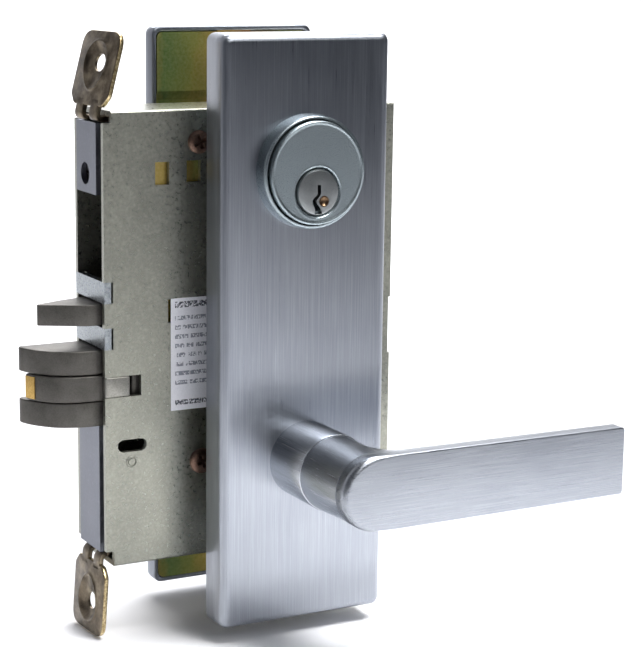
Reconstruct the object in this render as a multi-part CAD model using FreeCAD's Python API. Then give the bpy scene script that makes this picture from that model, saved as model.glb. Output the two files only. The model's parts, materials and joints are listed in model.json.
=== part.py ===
"""Mortise lock with an outside lever, a pin tumbler cylinder and two long escutcheons.

Millimetres. The origin is the centre of the lever hub, in the middle of the case's thickness.
-X points out of the door's edge, along the latch. +X is the back of the case.
-Y is the outside of the door, where the lever is. +Y is the inside. +Z is up.
"""
import FreeCAD, Part
import math
import os

os.makedirs("parts", exist_ok=True)

# ---------------------------------------------------------------- driving dimensions
# Case
case_front = -63.6
case_back = 46.1
case_bottom = -36.4
case_top = 117.9
case_half = 12.7
sheet = 1.9
wall_start = -60.7
cover_edge_round = 0.8
shell_bend = 1.6
coil_steps = 14
upper_flange_z = (89.9, 113.7)
upper_flange_edge = -6.3
lower_flange_z = (-32.4, 11.8)
lower_flange_edge = -7.0
corner_notch = 2.9
notch_top_z = 114.0
notch_bottom_z = -31.0
bar_upper_z = (54.4, 61.6)
bar_lower_z = (38.8, 46.1)
bar_thickness = 2.4
cover_windows = ((-45.2, -40.2, 93.0, 100.7), (-33.8, -28.8, 93.5, 100.8), (-40.7, -35.7, 46.3, 54.3))
latch_slot = (-50.6, 22.4, 29.5)
oblong_slot = (-59.2, -48.65, 3.2, 7.5)
back_notch = (1.6, 28.6, 48.9)
screw_places = ((-29.5, 106.9, 3.9), (-28.4, -2.8, 4.4), (38.0, 109.0, 3.9), (38.0, -28.5, 3.9))
screw_head_height = 2.3
screw_r = 1.9
standoff_r = 3.5
rivet_place = (-54.2, -0.4)
rivet_r = 2.04
label_x = (-39.7, -12.5)
label_z = (15.8, 54.5)
label_thickness = 0.12

# Door and trim
door_half = 22.2
trim_half_width = 31.0
trim_bottom = -57.0
trim_top = 143.5
outside_depth = 12.74
inside_depth = 8.0
trim_wall = 1.6
trim_edge_round = 3.0
bolt_z = (131.0, -47.0)
post_r = 4.0
bolt_r = 1.95
bolt_head_r = 4.5
plate_half_width = 29.1
plate_corner_r = 2.2
plate_z = (-55.4, 141.5)
plate_thickness = 1.6

# Lever and hub
hub_r = 12.0
running_gap = 0.06
hub_flange_r = 14.5
hub_arm_top = 24.0
hub_arm_half = 3.0
spindle_side = 8.0
socket_gap = 0.1
collar_r = 13.15
collar_end = -56.4
shank_r = 12.9
shank_end_r = 12.0
journal_r = 9.5
blade_front = -85.2
blade_thickness = 6.2
blade_hub_half = 12.4
blade_tip_half = 11.8
blade_tip = 97.0
blade_edge = 1.2

# Latch
latch_z = (12.3, 20.7, 30.1, 38.3)
latch_back = -42.0
latch_web_front = -52.5
latch_half = 9.2
latch_travel = 19.05
latch_rod_r = 2.5
latch_rod_z = 28.0
hook_x = (3.1, 8.1)
hook_z = (13.2, 31.0)
tail_bar_z = 25.0
tail_bar_half = 3.0
latch_guide_x = (-17.0, -14.0)
tongue_z = (21.1, 29.7)
tongue_pivot = (-59.0, 3.0)
tongue_pin_r = 1.5

# Auxiliary latch
aux_z = (46.7, 53.8)
aux_back = -45.0
aux_rod_r = 2.0
aux_rod_z = 50.2
aux_rod_end = -22.0
aux_guide_x = (-27.0, -25.0)
guard_pivot = (-20.0, 60.0)
guard_pin_r = 2.0

# Hub stop
stop_y = (-10.3, -7.7)
stop_top = -15.0
stop_width = 4.6
stop_notch = 6.4
stop_notch_floor = 12.0

# Cylinder
cylinder_z = 98.3
cylinder_r = 14.6
cylinder_head_r = 17.25
cylinder_face = -42.5
cylinder_back = 1.5
ring_r = 19.1
ring_face_r = 18.65
ring_face = -40.5
plug_z = 92.0
plug_r = 6.35
plug_head_r = 7.75
plug_head_depth = 1.4
chamber_r = 1.45
pin_r = 1.38
pin_first = -36.0
pin_pitch = 4.0
pin_count = 5
chamber_top = 110.6
keyway_half = 1.0
keyway_z = (84.0, 94.6)
cam_r = 16.0
cam_half = 3.6
cam_thickness = 2.5

# Front tabs: hole centre x and z, turn about the vertical, lean of the top towards +X
tab_upper = (-60.5, 133.3, 8.2, 15.4)
tab_lower = (-65.0, -51.6, 2.6, 4.2)
tab_half_width = 12.0
tab_thickness = 1.8
tab_tip = 10.4
tab_shoulder = -14.6
tab_leg_end = -18.4
tab_leg = (2.4, 7.8)
tab_hole_r = 3.0
tab_dimple_r = 1.1
tab_dimple_z = -10.2
tab_corner = 4.0
tab_pin_x = -55.5
tab_pin_r = 2.0
foot_half = 7.8
foot_upper_z = (114.0, 115.7)
foot_lower_z = (-34.2, -32.7)

# Bars, screws and label on the case
bar_slot_gap = 0.7
rivet_gap = 0.05
screw_hole_gap = 0.2
screw_head_round = 1.2
screw_end = 1.0
standoff_thread_end = 2.0
cross_reach = 2.1
cross_half = 0.45
cross_depth = 1.3

# Latch, tongue and their guides
latch_far = 9.0
jaw_back = -62.0
tongue_pin_cover = 2.0
latch_rod_end = -11.0
tail_bar_front = -12.0
hook_half = 6.0
fulcrum_front_gap = 0.2
fulcrum_back = -53.7
fulcrum_depth = 0.5
latch_guide_z = (22.0, 34.0)
latch_coil = (3.7, 0.45, 0.7)
aux_guide_edge = -6.5
aux_guide_z = (45.0, 55.4)
aux_coil = (3.0, 0.35, 0.6)
guard_y = (-10.4, -8.2)

# Hub halves and stop
hub_inner_end = 0.5
hub_outer_end = 14.2
hub_flange_y = (7.6, 10.4)
hub_arm_y = (1.0, 6.0)
stop_nib_bottom = -20.0
stop_foot_z = (-25.0, -19.0)
stop_upright_x = (19.0, 24.0)
stop_upright_top = 70.0
stop_ear_front = 10.0
stop_ear_end = 4.0
stop_ear_bottom = 66.5

# Inside plate, spring cage and bolts
plate_gap = 0.1
plate_rise = 1.7
plate_raised_z = (-38.0, 118.0)
plate_slope = 3.0
hook_plate_x = (-6.0, 7.0)
hook_plate_rise = 0.35
cage_r = 22.0
cage_wall = 1.4
cage_end = -23.0
cage_ear_reach = 28.5
cage_ear_half = 4.0
cage_screw_x = 26.0
cage_screw_r = 1.2
cage_screw_head_r = 2.3
lever_coil_start = -30.6
bolt_gap = 0.25
bolt_head_height = 1.8
bolt_head_round = 1.1
bolt_cross_reach = 2.4
bolt_cross_half = 0.5
bolt_end = 8.0
post_thread_start = 4.0

# Cylinder details and clamp
ring_gap = 0.2
ring_round = 0.7
plug_proud = 0.3
keyway_end = -14.0
chamber_start = 0.3
driver_top = 11.0
pin_coil = (1.0, 0.2, 1.1)
cam_gap = 0.1
cam_disc_r = 6.0
cam_screw_x = 3.4
cam_screw_r = 1.1
cam_screw_head_r = 1.9
cam_screw_head_height = 1.2
cam_screw_end = -5.0
clamp_screw_y = 3.3
clamp_screw_z = 96.2
clamp_screw_r = 1.9
clamp_head_r = 4.6
clamp_head_length = 3.0
clamp_slot_depth = 1.2
clamp_slot_reach = 3.6
clamp_slot_half = 0.5
clamp_hole_r = 3.7
clamp_plate_front = -50.0
clamp_plate_y = (-10.6, -8.6)
clamp_plate_z = (90.4, 102.9)
clamp_lug_x = (-24.0, -19.5)
clamp_lug_end = 7.0
clamp_lug_z = (92.0, 100.4)

# Feet of the front tabs
foot_reach = 4.5
foot_lap = 0.3
tab_pin_ends = (111.5, -30.5)

inner_half = case_half - sheet


# ---------------------------------------------------------------- shape helpers
def vec(x, y, z):
    return FreeCAD.Vector(x, y, z)


def box(x0, x1, y0, y1, z0, z1):
    """Block between two corners."""
    return Part.makeBox(x1 - x0, y1 - y0, z1 - z0, vec(x0, y0, z0))


def rod_x(r, x0, x1, y, z):
    return Part.makeCylinder(r, x1 - x0, vec(x0, y, z), vec(1, 0, 0))


def rod_y(r, y0, y1, x, z):
    return Part.makeCylinder(r, y1 - y0, vec(x, y0, z), vec(0, 1, 0))


def rod_z(r, z0, z1, x, y):
    return Part.makeCylinder(r, z1 - z0, vec(x, y, z0), vec(0, 0, 1))


def plan_prism(points, z0, z1):
    """Outline given as (x, y), extruded upwards."""
    wire = Part.makePolygon([vec(x, y, z0) for x, y in points] + [vec(points[0][0], points[0][1], z0)])
    return Part.Face(wire).extrude(vec(0, 0, z1 - z0))


def side_prism(points, y0, y1):
    """Outline given as (x, z), extruded along +Y."""
    wire = Part.makePolygon([vec(x, y0, z) for x, z in points] + [vec(points[0][0], y0, points[0][1])])
    return Part.Face(wire).extrude(vec(0, y1 - y0, 0))


def end_prism(points, x0, x1):
    """Outline given as (y, z), extruded along +X."""
    wire = Part.makePolygon([vec(x0, y, z) for y, z in points] + [vec(x0, points[0][0], points[0][1])])
    return Part.Face(wire).extrude(vec(x1 - x0, 0, 0))


def join(shapes):
    first = shapes[0]
    return first.fuse(shapes[1:]).removeSplitter()


def coil(radius, wire_r, pitch, length, start, axis):
    """Round-wire coil from start along axis: a circle swept along a helix of short straight runs."""
    count = round(length / pitch * coil_steps)
    points = []
    for i in range(count + 1):
        angle = 2 * math.pi * i / coil_steps
        points.append(vec(radius * math.cos(angle), radius * math.sin(angle), length * i / count))
    section = Part.Wire(Part.makeCircle(wire_r, points[0], points[1].sub(points[0])))
    body = Part.makePolygon(points).makePipeShell([section], True, False, 1)
    body.Placement = FreeCAD.Placement(start, FreeCAD.Rotation(vec(0, 0, 1), axis))
    return body


def write(name, shape):
    """One file per sub-part; separate solids stay separate."""
    solids = shape.Solids
    whole = solids[0] if len(solids) == 1 else Part.makeCompound(solids)
    for solid in solids:
        if not solid.isValid():
            print("not valid:", name)
    whole.exportStep("parts/" + name + ".step")
    size = whole.BoundBox
    print("%-24s %d  %8.1f mm3  x %.1f %.1f  y %.1f %.1f  z %.1f %.1f" % (
        name, len(solids), whole.Volume, size.XMin, size.XMax, size.YMin, size.YMax, size.ZMin, size.ZMax))


# ---------------------------------------------------------------- case
def wall_holes(y0, y1):
    """Openings that both side walls have, as solids to cut away."""
    tools = [rod_y(hub_r + running_gap, y0, y1, 0, 0)]
    tools.append(rod_y(cylinder_r + 0.4, y0, y1, 0, cylinder_z))
    tools.append(rod_y(rivet_r + rivet_gap, y0, y1, rivet_place[0], rivet_place[1]))
    tools.append(box(case_front, latch_slot[0], y0, y1, latch_slot[1], latch_slot[2]))
    for low, high in (bar_upper_z, bar_lower_z):
        tools.append(box(case_front, case_front + bar_thickness + bar_slot_gap, y0, y1, low, high))
    x0, x1, z0, z1 = oblong_slot
    end_r = (z1 - z0) / 2
    tools.append(box(x0 + end_r, x1 - end_r, y0, y1, z0, z1))
    tools.append(rod_y(end_r, y0, y1, x0 + end_r, z0 + end_r))
    tools.append(rod_y(end_r, y0, y1, x1 - end_r, z0 + end_r))
    tools.append(box(case_front, case_front + corner_notch, y0, y1, notch_top_z, case_top))
    tools.append(box(case_front, case_front + corner_notch, y0, y1, case_bottom, notch_bottom_z))
    return tools


def case_shell():
    far_wall = box(case_front, case_back, inner_half, case_half, case_bottom, case_top)
    far_wall = far_wall.cut(wall_holes(inner_half, case_half))
    walls = [far_wall]
    walls.append(box(wall_start, case_back, -inner_half, inner_half, case_top - sheet, case_top))
    walls.append(box(wall_start, case_back, -inner_half, inner_half, case_bottom, case_bottom + sheet))
    walls.append(box(case_back - sheet, case_back, -inner_half, inner_half, case_bottom, case_top))
    shell = join(walls)
    bends = []
    for edge in shell.Edges:
        middle = edge.CenterOfMass
        outside = abs(middle.y - case_half) < 0.01 and edge.Length > 50
        if outside and (abs(middle.x - case_back) < 0.01 or middle.z in (case_bottom, case_top)):
            bends.append(edge)
    return shell.makeFillet(shell_bend, bends)


def front_plate_upper():
    """Plate across the case's mouth, with the way in to the cylinder's clamp screw."""
    plate = box(case_front, case_front + sheet, upper_flange_edge, inner_half, *upper_flange_z)
    return plate.cut(rod_x(clamp_hole_r, case_front, case_front + sheet, clamp_screw_y, clamp_screw_z))


def front_plate_lower():
    return box(case_front, case_front + sheet, lower_flange_edge, inner_half, *lower_flange_z)


def case_cover():
    plate = box(case_front, case_back, -case_half, -inner_half, case_bottom, case_top)
    near = [e for e in plate.Edges if abs(e.CenterOfMass.y + case_half) < 0.01]
    rim = [e for e in near if e.CenterOfMass.x > case_front + 1]
    plate = plate.makeFillet(cover_edge_round, rim)
    tools = wall_holes(-case_half, -inner_half)
    for x0, x1, z0, z1 in cover_windows:
        tools.append(box(x0, x1, -case_half, -inner_half, z0, z1))
    for x, z, head_r in screw_places:
        tools.append(rod_y(screw_r + screw_hole_gap, -case_half, -inner_half, x, z))
    depth, z0, z1 = back_notch
    tools.append(box(case_back - depth, case_back, -case_half, -inner_half, z0, z1))
    return plate.cut(tools)


def front_bar(z_range):
    """Cross bar of the case's mouth, with a tenon through each side wall."""
    return box(case_front, case_front + bar_thickness, -case_half, case_half, *z_range)


def case_standoffs():
    posts = []
    for x, z, head_r in screw_places:
        post = rod_y(standoff_r, -inner_half, inner_half, x, z)
        posts.append(post.cut(rod_y(screw_r, -inner_half, standoff_thread_end, x, z)))
    return Part.makeCompound(posts)


def pan_screw(x, z, head_r):
    """Pan head with a cross recess and a plain shank, pointing at +Y."""
    head = rod_y(head_r, -case_half - screw_head_height, -case_half, x, z)
    outer = [e for e in head.Edges if abs(e.CenterOfMass.y + case_half + screw_head_height) < 0.01]
    head = head.makeFillet(screw_head_round, outer)
    top = -case_half - screw_head_height
    low = top + cross_depth
    cross = box(x - cross_reach, x + cross_reach, top, low, z - cross_half, z + cross_half)
    cross = cross.fuse(box(x - cross_half, x + cross_half, top, low, z - cross_reach, z + cross_reach))
    shank = rod_y(screw_r, -case_half, screw_end, x, z)
    return join([head.cut(cross), shank])


def case_rivet():
    return rod_y(rivet_r, -case_half - 0.1, case_half + 0.1, *rivet_place)


def case_label():
    y = -case_half - label_thickness
    return box(label_x[0], label_x[1], y, -case_half, label_z[0], label_z[1])


# ---------------------------------------------------------------- latch
def jaw_outline():
    """Plan of one jaw: near side curved back to the nose, far side flat."""
    nose = [(-68.0, -9.0), (-73.0, -8.0), (-78.3, -5.5), (-82.1, -1.5), (-84.5, 2.4), (-86.3, 6.5)]
    near = [(jaw_back, -latch_half)] + nose
    far = [(-86.3, 8.4), (-85.5, latch_far), (jaw_back, latch_far)]
    return near + far


def latch_head():
    """Two jaws, one above the other, joined by a block inside the case."""
    jaws = []
    for z0, z1 in (latch_z[0:2], latch_z[2:4]):
        jaws.append(plan_prism(jaw_outline(), z0, z1))
        jaws.append(box(jaw_back, latch_web_front, -latch_half, latch_far, z0, z1))
    jaws.append(box(latch_web_front, latch_back, -latch_half, latch_far, latch_z[0], latch_z[3]))
    head = join(jaws)
    return head.cut(tongue_pin())


def latch_tail():
    """Rod through the spring, bar over the hub arms and the hook behind them."""
    rod = rod_x(latch_rod_r, latch_back, latch_rod_end, 0, latch_rod_z)
    bar = box(tail_bar_front, hook_x[1], -tail_bar_half, tail_bar_half, tail_bar_z, hook_z[1])
    hook = box(hook_x[0], hook_x[1], -hook_half, hook_half, hook_z[0], hook_z[1])
    return join([rod, bar, hook])


def tongue_pin():
    return rod_z(tongue_pin_r, latch_z[0] + tongue_pin_cover, latch_z[3] - tongue_pin_cover, *tongue_pivot)


def wear_strip_outline():
    outer = [(-82.4, -2.5), (-84.6, 0.8), (-85.8, 4.4)]
    inner = [(-84.9, 4.7), (-83.7, 1.3), (-81.6, -1.9)]
    return outer + inner


def tongue_outline():
    near = [(-60.0, -9.9), (-64.0, -9.9), (-68.5, -9.6), (-73.5, -8.6), (-78.6, -6.2), (-82.2, -2.6)]
    nose = [(-84.4, 0.8), (-85.4, 4.0), (-84.9, 5.0)]
    heel = [(-66.0, 7.5), (-59.0, 8.0), (-55.5, 6.5), (-54.0, 3.0), (-55.2, -3.0), (-57.5, -8.0)]
    return near + nose + heel


def antifriction_tongue():
    tongue = plan_prism(tongue_outline(), *tongue_z)
    tongue = tongue.cut(plan_prism(wear_strip_outline(), *tongue_z))
    tongue = tongue.cut(rod_z(tongue_pin_r + running_gap, tongue_z[0], tongue_z[1], *tongue_pivot))
    return max(tongue.Solids, key=lambda solid: solid.Volume)


def tongue_wear_strip():
    return plan_prism(wear_strip_outline(), *tongue_z)


def tongue_fulcrum():
    """Block in the cover's slot that the tongue's heel rocks against."""
    front = case_front + fulcrum_front_gap
    z0, z1 = latch_slot[1:]
    return box(front, fulcrum_back, -case_half, -inner_half + fulcrum_depth, z0, z1 - 0.2)


def latch_guide():
    plate = box(*latch_guide_x, -inner_half, inner_half, *latch_guide_z)
    x0, x1 = latch_guide_x
    return plate.cut(rod_x(latch_rod_r + running_gap, x0, x1, 0, latch_rod_z))


def latch_spring():
    radius, wire, play = latch_coil
    length = latch_guide_x[0] - latch_back - 2 * play
    return coil(radius, wire, length / 6, length, vec(latch_back + play, 0, latch_rod_z), vec(1, 0, 0))


# ---------------------------------------------------------------- auxiliary latch
def aux_latch():
    nose = [(-63.6, -9.2), (-68.2, -9.2), (-83.0, -1.2), (-82.6, 0.0), (-73.2, 4.0), (-63.9, 7.0)]
    outline = [(aux_back, -7.4), (-61.0, -7.4), (-61.0, -9.2)] + nose + [(aux_back, 6.0)]
    return plan_prism(outline, *aux_z)


def aux_tail():
    return rod_x(aux_rod_r, aux_back, aux_rod_end, 0, aux_rod_z)


def aux_guide():
    x0, x1 = aux_guide_x
    plate = box(x0, x1, aux_guide_edge, inner_half, *aux_guide_z)
    return plate.cut(rod_x(aux_rod_r + running_gap, x0, x1, 0, aux_rod_z))


def aux_spring():
    radius, wire, play = aux_coil
    length = aux_guide_x[0] - aux_back - 2 * play
    return coil(radius, wire, length / 6, length, vec(aux_back + play, 0, aux_rod_z), vec(1, 0, 0))


def guard_lever():
    outline = [(-15.5, 57.0), (-15.5, 64.0), (-24.0, 65.5), (-44.0, 57.0)]
    outline += [(-44.0, 42.9), (-35.0, 42.9), (-25.0, 54.0)]
    plate = side_prism(outline, *guard_y)
    return plate.cut(rod_y(guard_pin_r + running_gap, *guard_y, *guard_pivot))


def guard_pivot_pin():
    return rod_y(guard_pin_r, -inner_half, inner_half, *guard_pivot)


# ---------------------------------------------------------------- hub, spindle and stop
def square_rod(side, y0, y1):
    half = side / 2
    return box(-half, half, y0, y1, -half, half)


def hub(sign):
    """Hub half: journal, flange, arm and square socket. sign -1 is the outside."""
    def span(a, b):
        return (a, b) if a < b else (b, a)
    body = rod_y(hub_r, *span(hub_inner_end * sign, hub_outer_end * sign), 0, 0)
    flange = rod_y(hub_flange_r, *span(hub_flange_y[1] * sign, hub_flange_y[0] * sign), 0, 0)
    y0, y1 = span(hub_arm_y[0] * sign, hub_arm_y[1] * sign)
    arm = box(-hub_arm_half, hub_arm_half, y0, y1, 0, hub_arm_top)
    whole = join([body, flange, arm])
    return whole.cut(square_rod(spindle_side + 2 * socket_gap, -15, 15))


def outside_hub():
    half = stop_notch / 2
    notch = box(-half, half, -hub_flange_y[1], -hub_flange_y[0], -hub_flange_r - 1, -stop_notch_floor)
    return hub(-1).cut(notch)


def hub_stop():
    """Slide under the hub's notch, with an upright that reaches below the cam."""
    half = stop_width / 2
    x0, x1 = stop_upright_x
    nib = box(-half, half, *stop_y, stop_nib_bottom, stop_top)
    foot = box(-half, x1, *stop_y, *stop_foot_z)
    upright = box(x0, x1, *stop_y, stop_foot_z[0], stop_upright_top)
    ear = box(stop_ear_front, x1, stop_y[0], stop_ear_end, stop_ear_bottom, stop_upright_top)
    return join([nib, foot, upright, ear])


def outside_spindle():
    return square_rod(spindle_side, -54.0, -0.8)


# ---------------------------------------------------------------- lever
def outside_lever():
    """Round shank on the hub axis carrying a flat blade that points to +X."""
    shank_back = collar_end - 0.3
    blade_back = blade_front + blade_thickness
    shank = Part.makeCone(shank_r, shank_end_r, shank_back - blade_back, vec(0, shank_back, 0), vec(0, -1, 0))
    tail = rod_y(journal_r, shank_back, -31.0, 0, 0)
    top_hub = vec(0, blade_back, blade_hub_half)
    top_tip = vec(blade_tip, blade_back, blade_tip_half)
    low_tip = vec(blade_tip, blade_back, -blade_tip_half)
    low_hub = vec(0, blade_back, -blade_hub_half)
    arc = Part.Arc(low_hub, vec(-blade_hub_half, blade_back, 0), top_hub).toShape()
    pairs = ((top_hub, top_tip), (top_tip, low_tip), (low_tip, low_hub))
    lines = [Part.makeLine(a, b) for a, b in pairs]
    outline = Part.Wire([arc] + lines)
    blade = Part.Face(outline).extrude(vec(0, -blade_thickness, 0))
    blade = blade.makeFillet(blade_edge, blade.Edges)
    web_points = [(9.0, blade_back + 9.0), (12.0, blade_back + 4.0)]
    web_points += [(19.0, blade_back - 0.5), (9.0, blade_back - 0.5)]
    web = plan_prism(web_points, -8.0, 8.0)
    body = join([shank, tail, blade, web])
    body = body.cut(square_rod(spindle_side + 2 * socket_gap, -54.5, -31.0))
    return body.cut(rod_z(2.5, -14.0, -5.0, 0, -64.0))


def lever_set_screw():
    screw = rod_z(2.5, -11.6, -5.0, 0, -64.0)
    turns = [math.radians(a) for a in range(0, 360, 60)]
    hexagon = [(1.25 * math.cos(a), 1.25 * math.sin(a) - 64.0) for a in turns]
    return screw.cut(plan_prism(hexagon, -11.6, -9.0))


# ---------------------------------------------------------------- trim
def pan(rim, face, holes):
    """Long escutcheon: a shallow pan with rounded front edges, open at the rim."""
    low, high = min(rim, face), max(rim, face)
    outer = box(-trim_half_width, trim_half_width, low, high, trim_bottom, trim_top)
    corners = [e for e in outer.Edges if e.BoundBox.YLength > 1]
    outer = outer.makeFillet(trim_edge_round, corners)
    flat = [e for e in outer.Edges if e.BoundBox.YLength < 0.01]
    front = [e for e in flat if abs(e.BoundBox.YMin - face) < 0.01]
    outer = outer.makeFillet(trim_edge_round - 0.2, front)
    t = trim_wall
    if face < rim:
        hollow_y = (face + t, rim)
    else:
        hollow_y = (rim, face - t)
    hollow = box(-trim_half_width + t, trim_half_width - t, *hollow_y, trim_bottom + t, trim_top - t)
    upright = [e for e in hollow.Edges if e.BoundBox.YLength > 1]
    hollow = hollow.makeFillet(trim_edge_round - 1, upright)
    return outer.cut([hollow] + holes)


def outside_escutcheon():
    face = -door_half - outside_depth
    holes = [rod_y(cylinder_r + 0.2, face, face + 3, 0, cylinder_z)]
    holes.append(rod_y(journal_r + 0.5, face, face + 3, 0, 0))
    for x in (-cage_screw_x, cage_screw_x):
        holes.append(rod_y(cage_screw_r, face + 0.9, face + 3, x, 0))
    return pan(-door_half, face, holes)


def inside_escutcheon():
    face = door_half + inside_depth
    holes = [rod_y(collar_r + 0.15, face - 3, face, 0, 0)]
    for z in bolt_z:
        holes.append(rod_y(bolt_r + bolt_gap, face - 3, face, 0, z))
    return pan(door_half, face, holes)


def inside_mounting_plate():
    """Pressed plate with a raised middle and a hook at its top edge."""
    t = plate_thickness
    low, high = plate_z
    rim = door_half + plate_gap
    raised = rim + plate_rise
    z0, z1 = plate_raised_z
    front = [(rim, high), (rim, z1 + plate_slope), (raised, z1)]
    front += [(raised, z0), (rim, z0 - plate_slope), (rim, low)]
    back = [(y + t, z) for y, z in reversed(front)]
    plate = end_prism(front + back, -plate_half_width, plate_half_width)
    corners = [e for e in plate.Edges if e.Length < 1.5 * t and abs(e.CenterOfMass.z - (low + high) / 2) > 90]
    plate = plate.makeFillet(plate_corner_r, corners)
    hook = box(*hook_plate_x, rim, rim + t, high - 0.5, high + hook_plate_rise)
    whole = join([plate, hook])
    tools = [rod_y(collar_r + 0.6, rim - 1, rim + 6, 0, 0)]
    tools += [rod_y(bolt_r + bolt_gap, rim - 1, rim + 6, 0, z) for z in bolt_z]
    return whole.cut(tools)


def lever_collar():
    """Fixed collar on the escutcheon that carries the lever's journal."""
    face = -door_half - outside_depth
    return rod_y(collar_r, collar_end, face, 0, 0).cut(rod_y(journal_r + running_gap, collar_end, face, 0, 0))


def spring_cage():
    face = -door_half - outside_depth + trim_wall
    floor = face + cage_wall
    cup = rod_y(cage_r, face, cage_end, 0, 0).cut(rod_y(cage_r - cage_wall, floor, cage_end, 0, 0))
    ears = box(-cage_ear_reach, cage_ear_reach, face, floor, -cage_ear_half, cage_ear_half)
    whole = join([cup, ears.cut(rod_y(cage_r - 1, face, floor, 0, 0))])
    tools = [rod_y(journal_r + 0.3, face, floor, 0, 0)]
    tools += [rod_y(cage_screw_r, face, floor, x, 0) for x in (-cage_screw_x, cage_screw_x)]
    return whole.cut(tools)


def lever_spring():
    return coil(15.0, 0.8, 2.0, 6.0, vec(0, lever_coil_start, 0), vec(0, 1, 0))


def cage_screws():
    face = -door_half - outside_depth + trim_wall
    screws = []
    for x in (-cage_screw_x, cage_screw_x):
        head = rod_y(cage_screw_head_r, face + cage_wall, face + 2 * cage_wall, x, 0)
        screws.append(join([head, rod_y(cage_screw_r, face - 0.6, face + cage_wall, x, 0)]))
    return Part.makeCompound(screws)


def mounting_posts():
    back = -door_half - outside_depth + trim_wall
    posts = []
    for z in bolt_z:
        post = rod_y(post_r, back, door_half, 0, z)
        posts.append(post.cut(rod_y(bolt_r, post_thread_start, door_half, 0, z)))
    return Part.makeCompound(posts)


def through_bolts():
    face = door_half + inside_depth
    bolts = []
    for z in bolt_z:
        top = face + bolt_head_height
        head = rod_y(bolt_head_r, face, top, 0, z)
        outer = [e for e in head.Edges if abs(e.CenterOfMass.y - top) < 0.01]
        head = head.makeFillet(bolt_head_round, outer)
        reach, half, low = bolt_cross_reach, bolt_cross_half, top - bolt_head_round
        cross = box(-reach, reach, low, top, z - half, z + half)
        cross = cross.fuse(box(-half, half, low, top, z - reach, z + reach))
        bolts.append(join([head.cut(cross), rod_y(bolt_r, bolt_end, face, 0, z)]))
    return Part.makeCompound(bolts)


# ---------------------------------------------------------------- cylinder
def pin_places():
    return [pin_first + pin_pitch * i for i in range(pin_count)]


def chambers(z0, z1, r):
    return [rod_z(r, z0, z1, 0, y) for y in pin_places()]


def cylinder_housing():
    """Round housing with a head, a bore for the plug and a row of pin chambers."""
    head_back = -door_half - outside_depth
    body = rod_y(cylinder_r, head_back, cylinder_back, 0, cylinder_z)
    head = rod_y(cylinder_head_r, cylinder_face, head_back, 0, cylinder_z)
    whole = join([body, head])
    tools = [rod_y(plug_r + running_gap, cylinder_face, cylinder_back, 0, plug_z)]
    tools.append(rod_y(plug_head_r + 0.08, cylinder_face, cylinder_face + plug_head_depth + 0.1, 0, plug_z))
    tools += chambers(plug_z, chamber_top, chamber_r)
    return whole.cut(tools)


def cylinder_collar():
    """Ring round the head, tapering slightly towards its face."""
    back = -door_half - outside_depth
    ring = Part.makeCone(ring_r, ring_face_r, back - ring_face, vec(0, back, cylinder_z), vec(0, -1, 0))
    outer = [e for e in ring.Edges if abs(e.CenterOfMass.y - ring_face) < 0.01]
    ring = ring.makeFillet(ring_round, outer)
    return ring.cut(rod_y(cylinder_head_r + ring_gap, ring_face, back, 0, cylinder_z))


def cylinder_plug():
    head = rod_y(plug_head_r, cylinder_face - plug_proud, cylinder_face + plug_head_depth, 0, plug_z)
    body = rod_y(plug_r, cylinder_face, cylinder_back + cam_gap, 0, plug_z)
    whole = join([head, body])
    tools = [box(-keyway_half, keyway_half, cylinder_face - 1, keyway_end, *keyway_z)]
    tools += chambers(plug_z + chamber_start, plug_z + 8, chamber_r)
    back = cylinder_back + cam_gap
    for x in (-cam_screw_x, cam_screw_x):
        tools.append(rod_y(cam_screw_r, cam_screw_end - 1, back, x, plug_z))
    return whole.cut(tools)


def key_pins():
    top = plug_z + math.sqrt(plug_r ** 2 - pin_r ** 2) - 0.02
    pins = []
    for y in pin_places():
        point = Part.makeCone(0.5, pin_r, 0.9, vec(0, y, plug_z + 0.5))
        pins.append(rod_z(pin_r, plug_z + 1.4, top, 0, y).fuse(point))
    return Part.makeCompound(pins)


def driver_pins():
    return Part.makeCompound(chambers(plug_z + plug_r + running_gap + 0.05, plug_z + driver_top, pin_r))


def pin_springs():
    low = plug_z + driver_top + 0.4
    length = chamber_top - 0.4 - low
    return Part.makeCompound([coil(*pin_coil, length, vec(0, y, low), vec(0, 0, 1)) for y in pin_places()])


def cylinder_cam():
    """Tailpiece on the plug's back: a disc with one nose, hanging down at rest."""
    y0 = cylinder_back + cam_gap
    y1 = y0 + cam_thickness
    disc = rod_y(cam_disc_r, y0, y1, 0, plug_z)
    nose = box(-cam_half, cam_half, y0, y1, plug_z - cam_r + 1.0, plug_z)
    tip = rod_y(cam_half, y0, y1, 0, plug_z - cam_r + cam_half)
    holes = [rod_y(cam_screw_r, y0, y1, x, plug_z) for x in (-cam_screw_x, cam_screw_x)]
    return join([disc, nose, tip]).cut(holes)


def cam_screws():
    y1 = cylinder_back + cam_gap + cam_thickness
    screws = []
    for x in (-cam_screw_x, cam_screw_x):
        head = rod_y(cam_screw_head_r, y1, y1 + cam_screw_head_height, x, plug_z)
        screws.append(join([rod_y(cam_screw_r, cam_screw_end, y1, x, plug_z), head]))
    return Part.makeCompound(screws)


def cylinder_clamp_plate():
    """Plate behind the cover whose end bears on the cylinder, with a lug for its screw."""
    plate = box(clamp_plate_front, -cylinder_r - 0.3, *clamp_plate_y, *clamp_plate_z)
    lug = box(*clamp_lug_x, clamp_plate_y[0], clamp_lug_end, *clamp_lug_z)
    return join([plate, lug]).cut(rod_x(clamp_screw_r, *clamp_lug_x, clamp_screw_y, clamp_screw_z))


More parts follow.
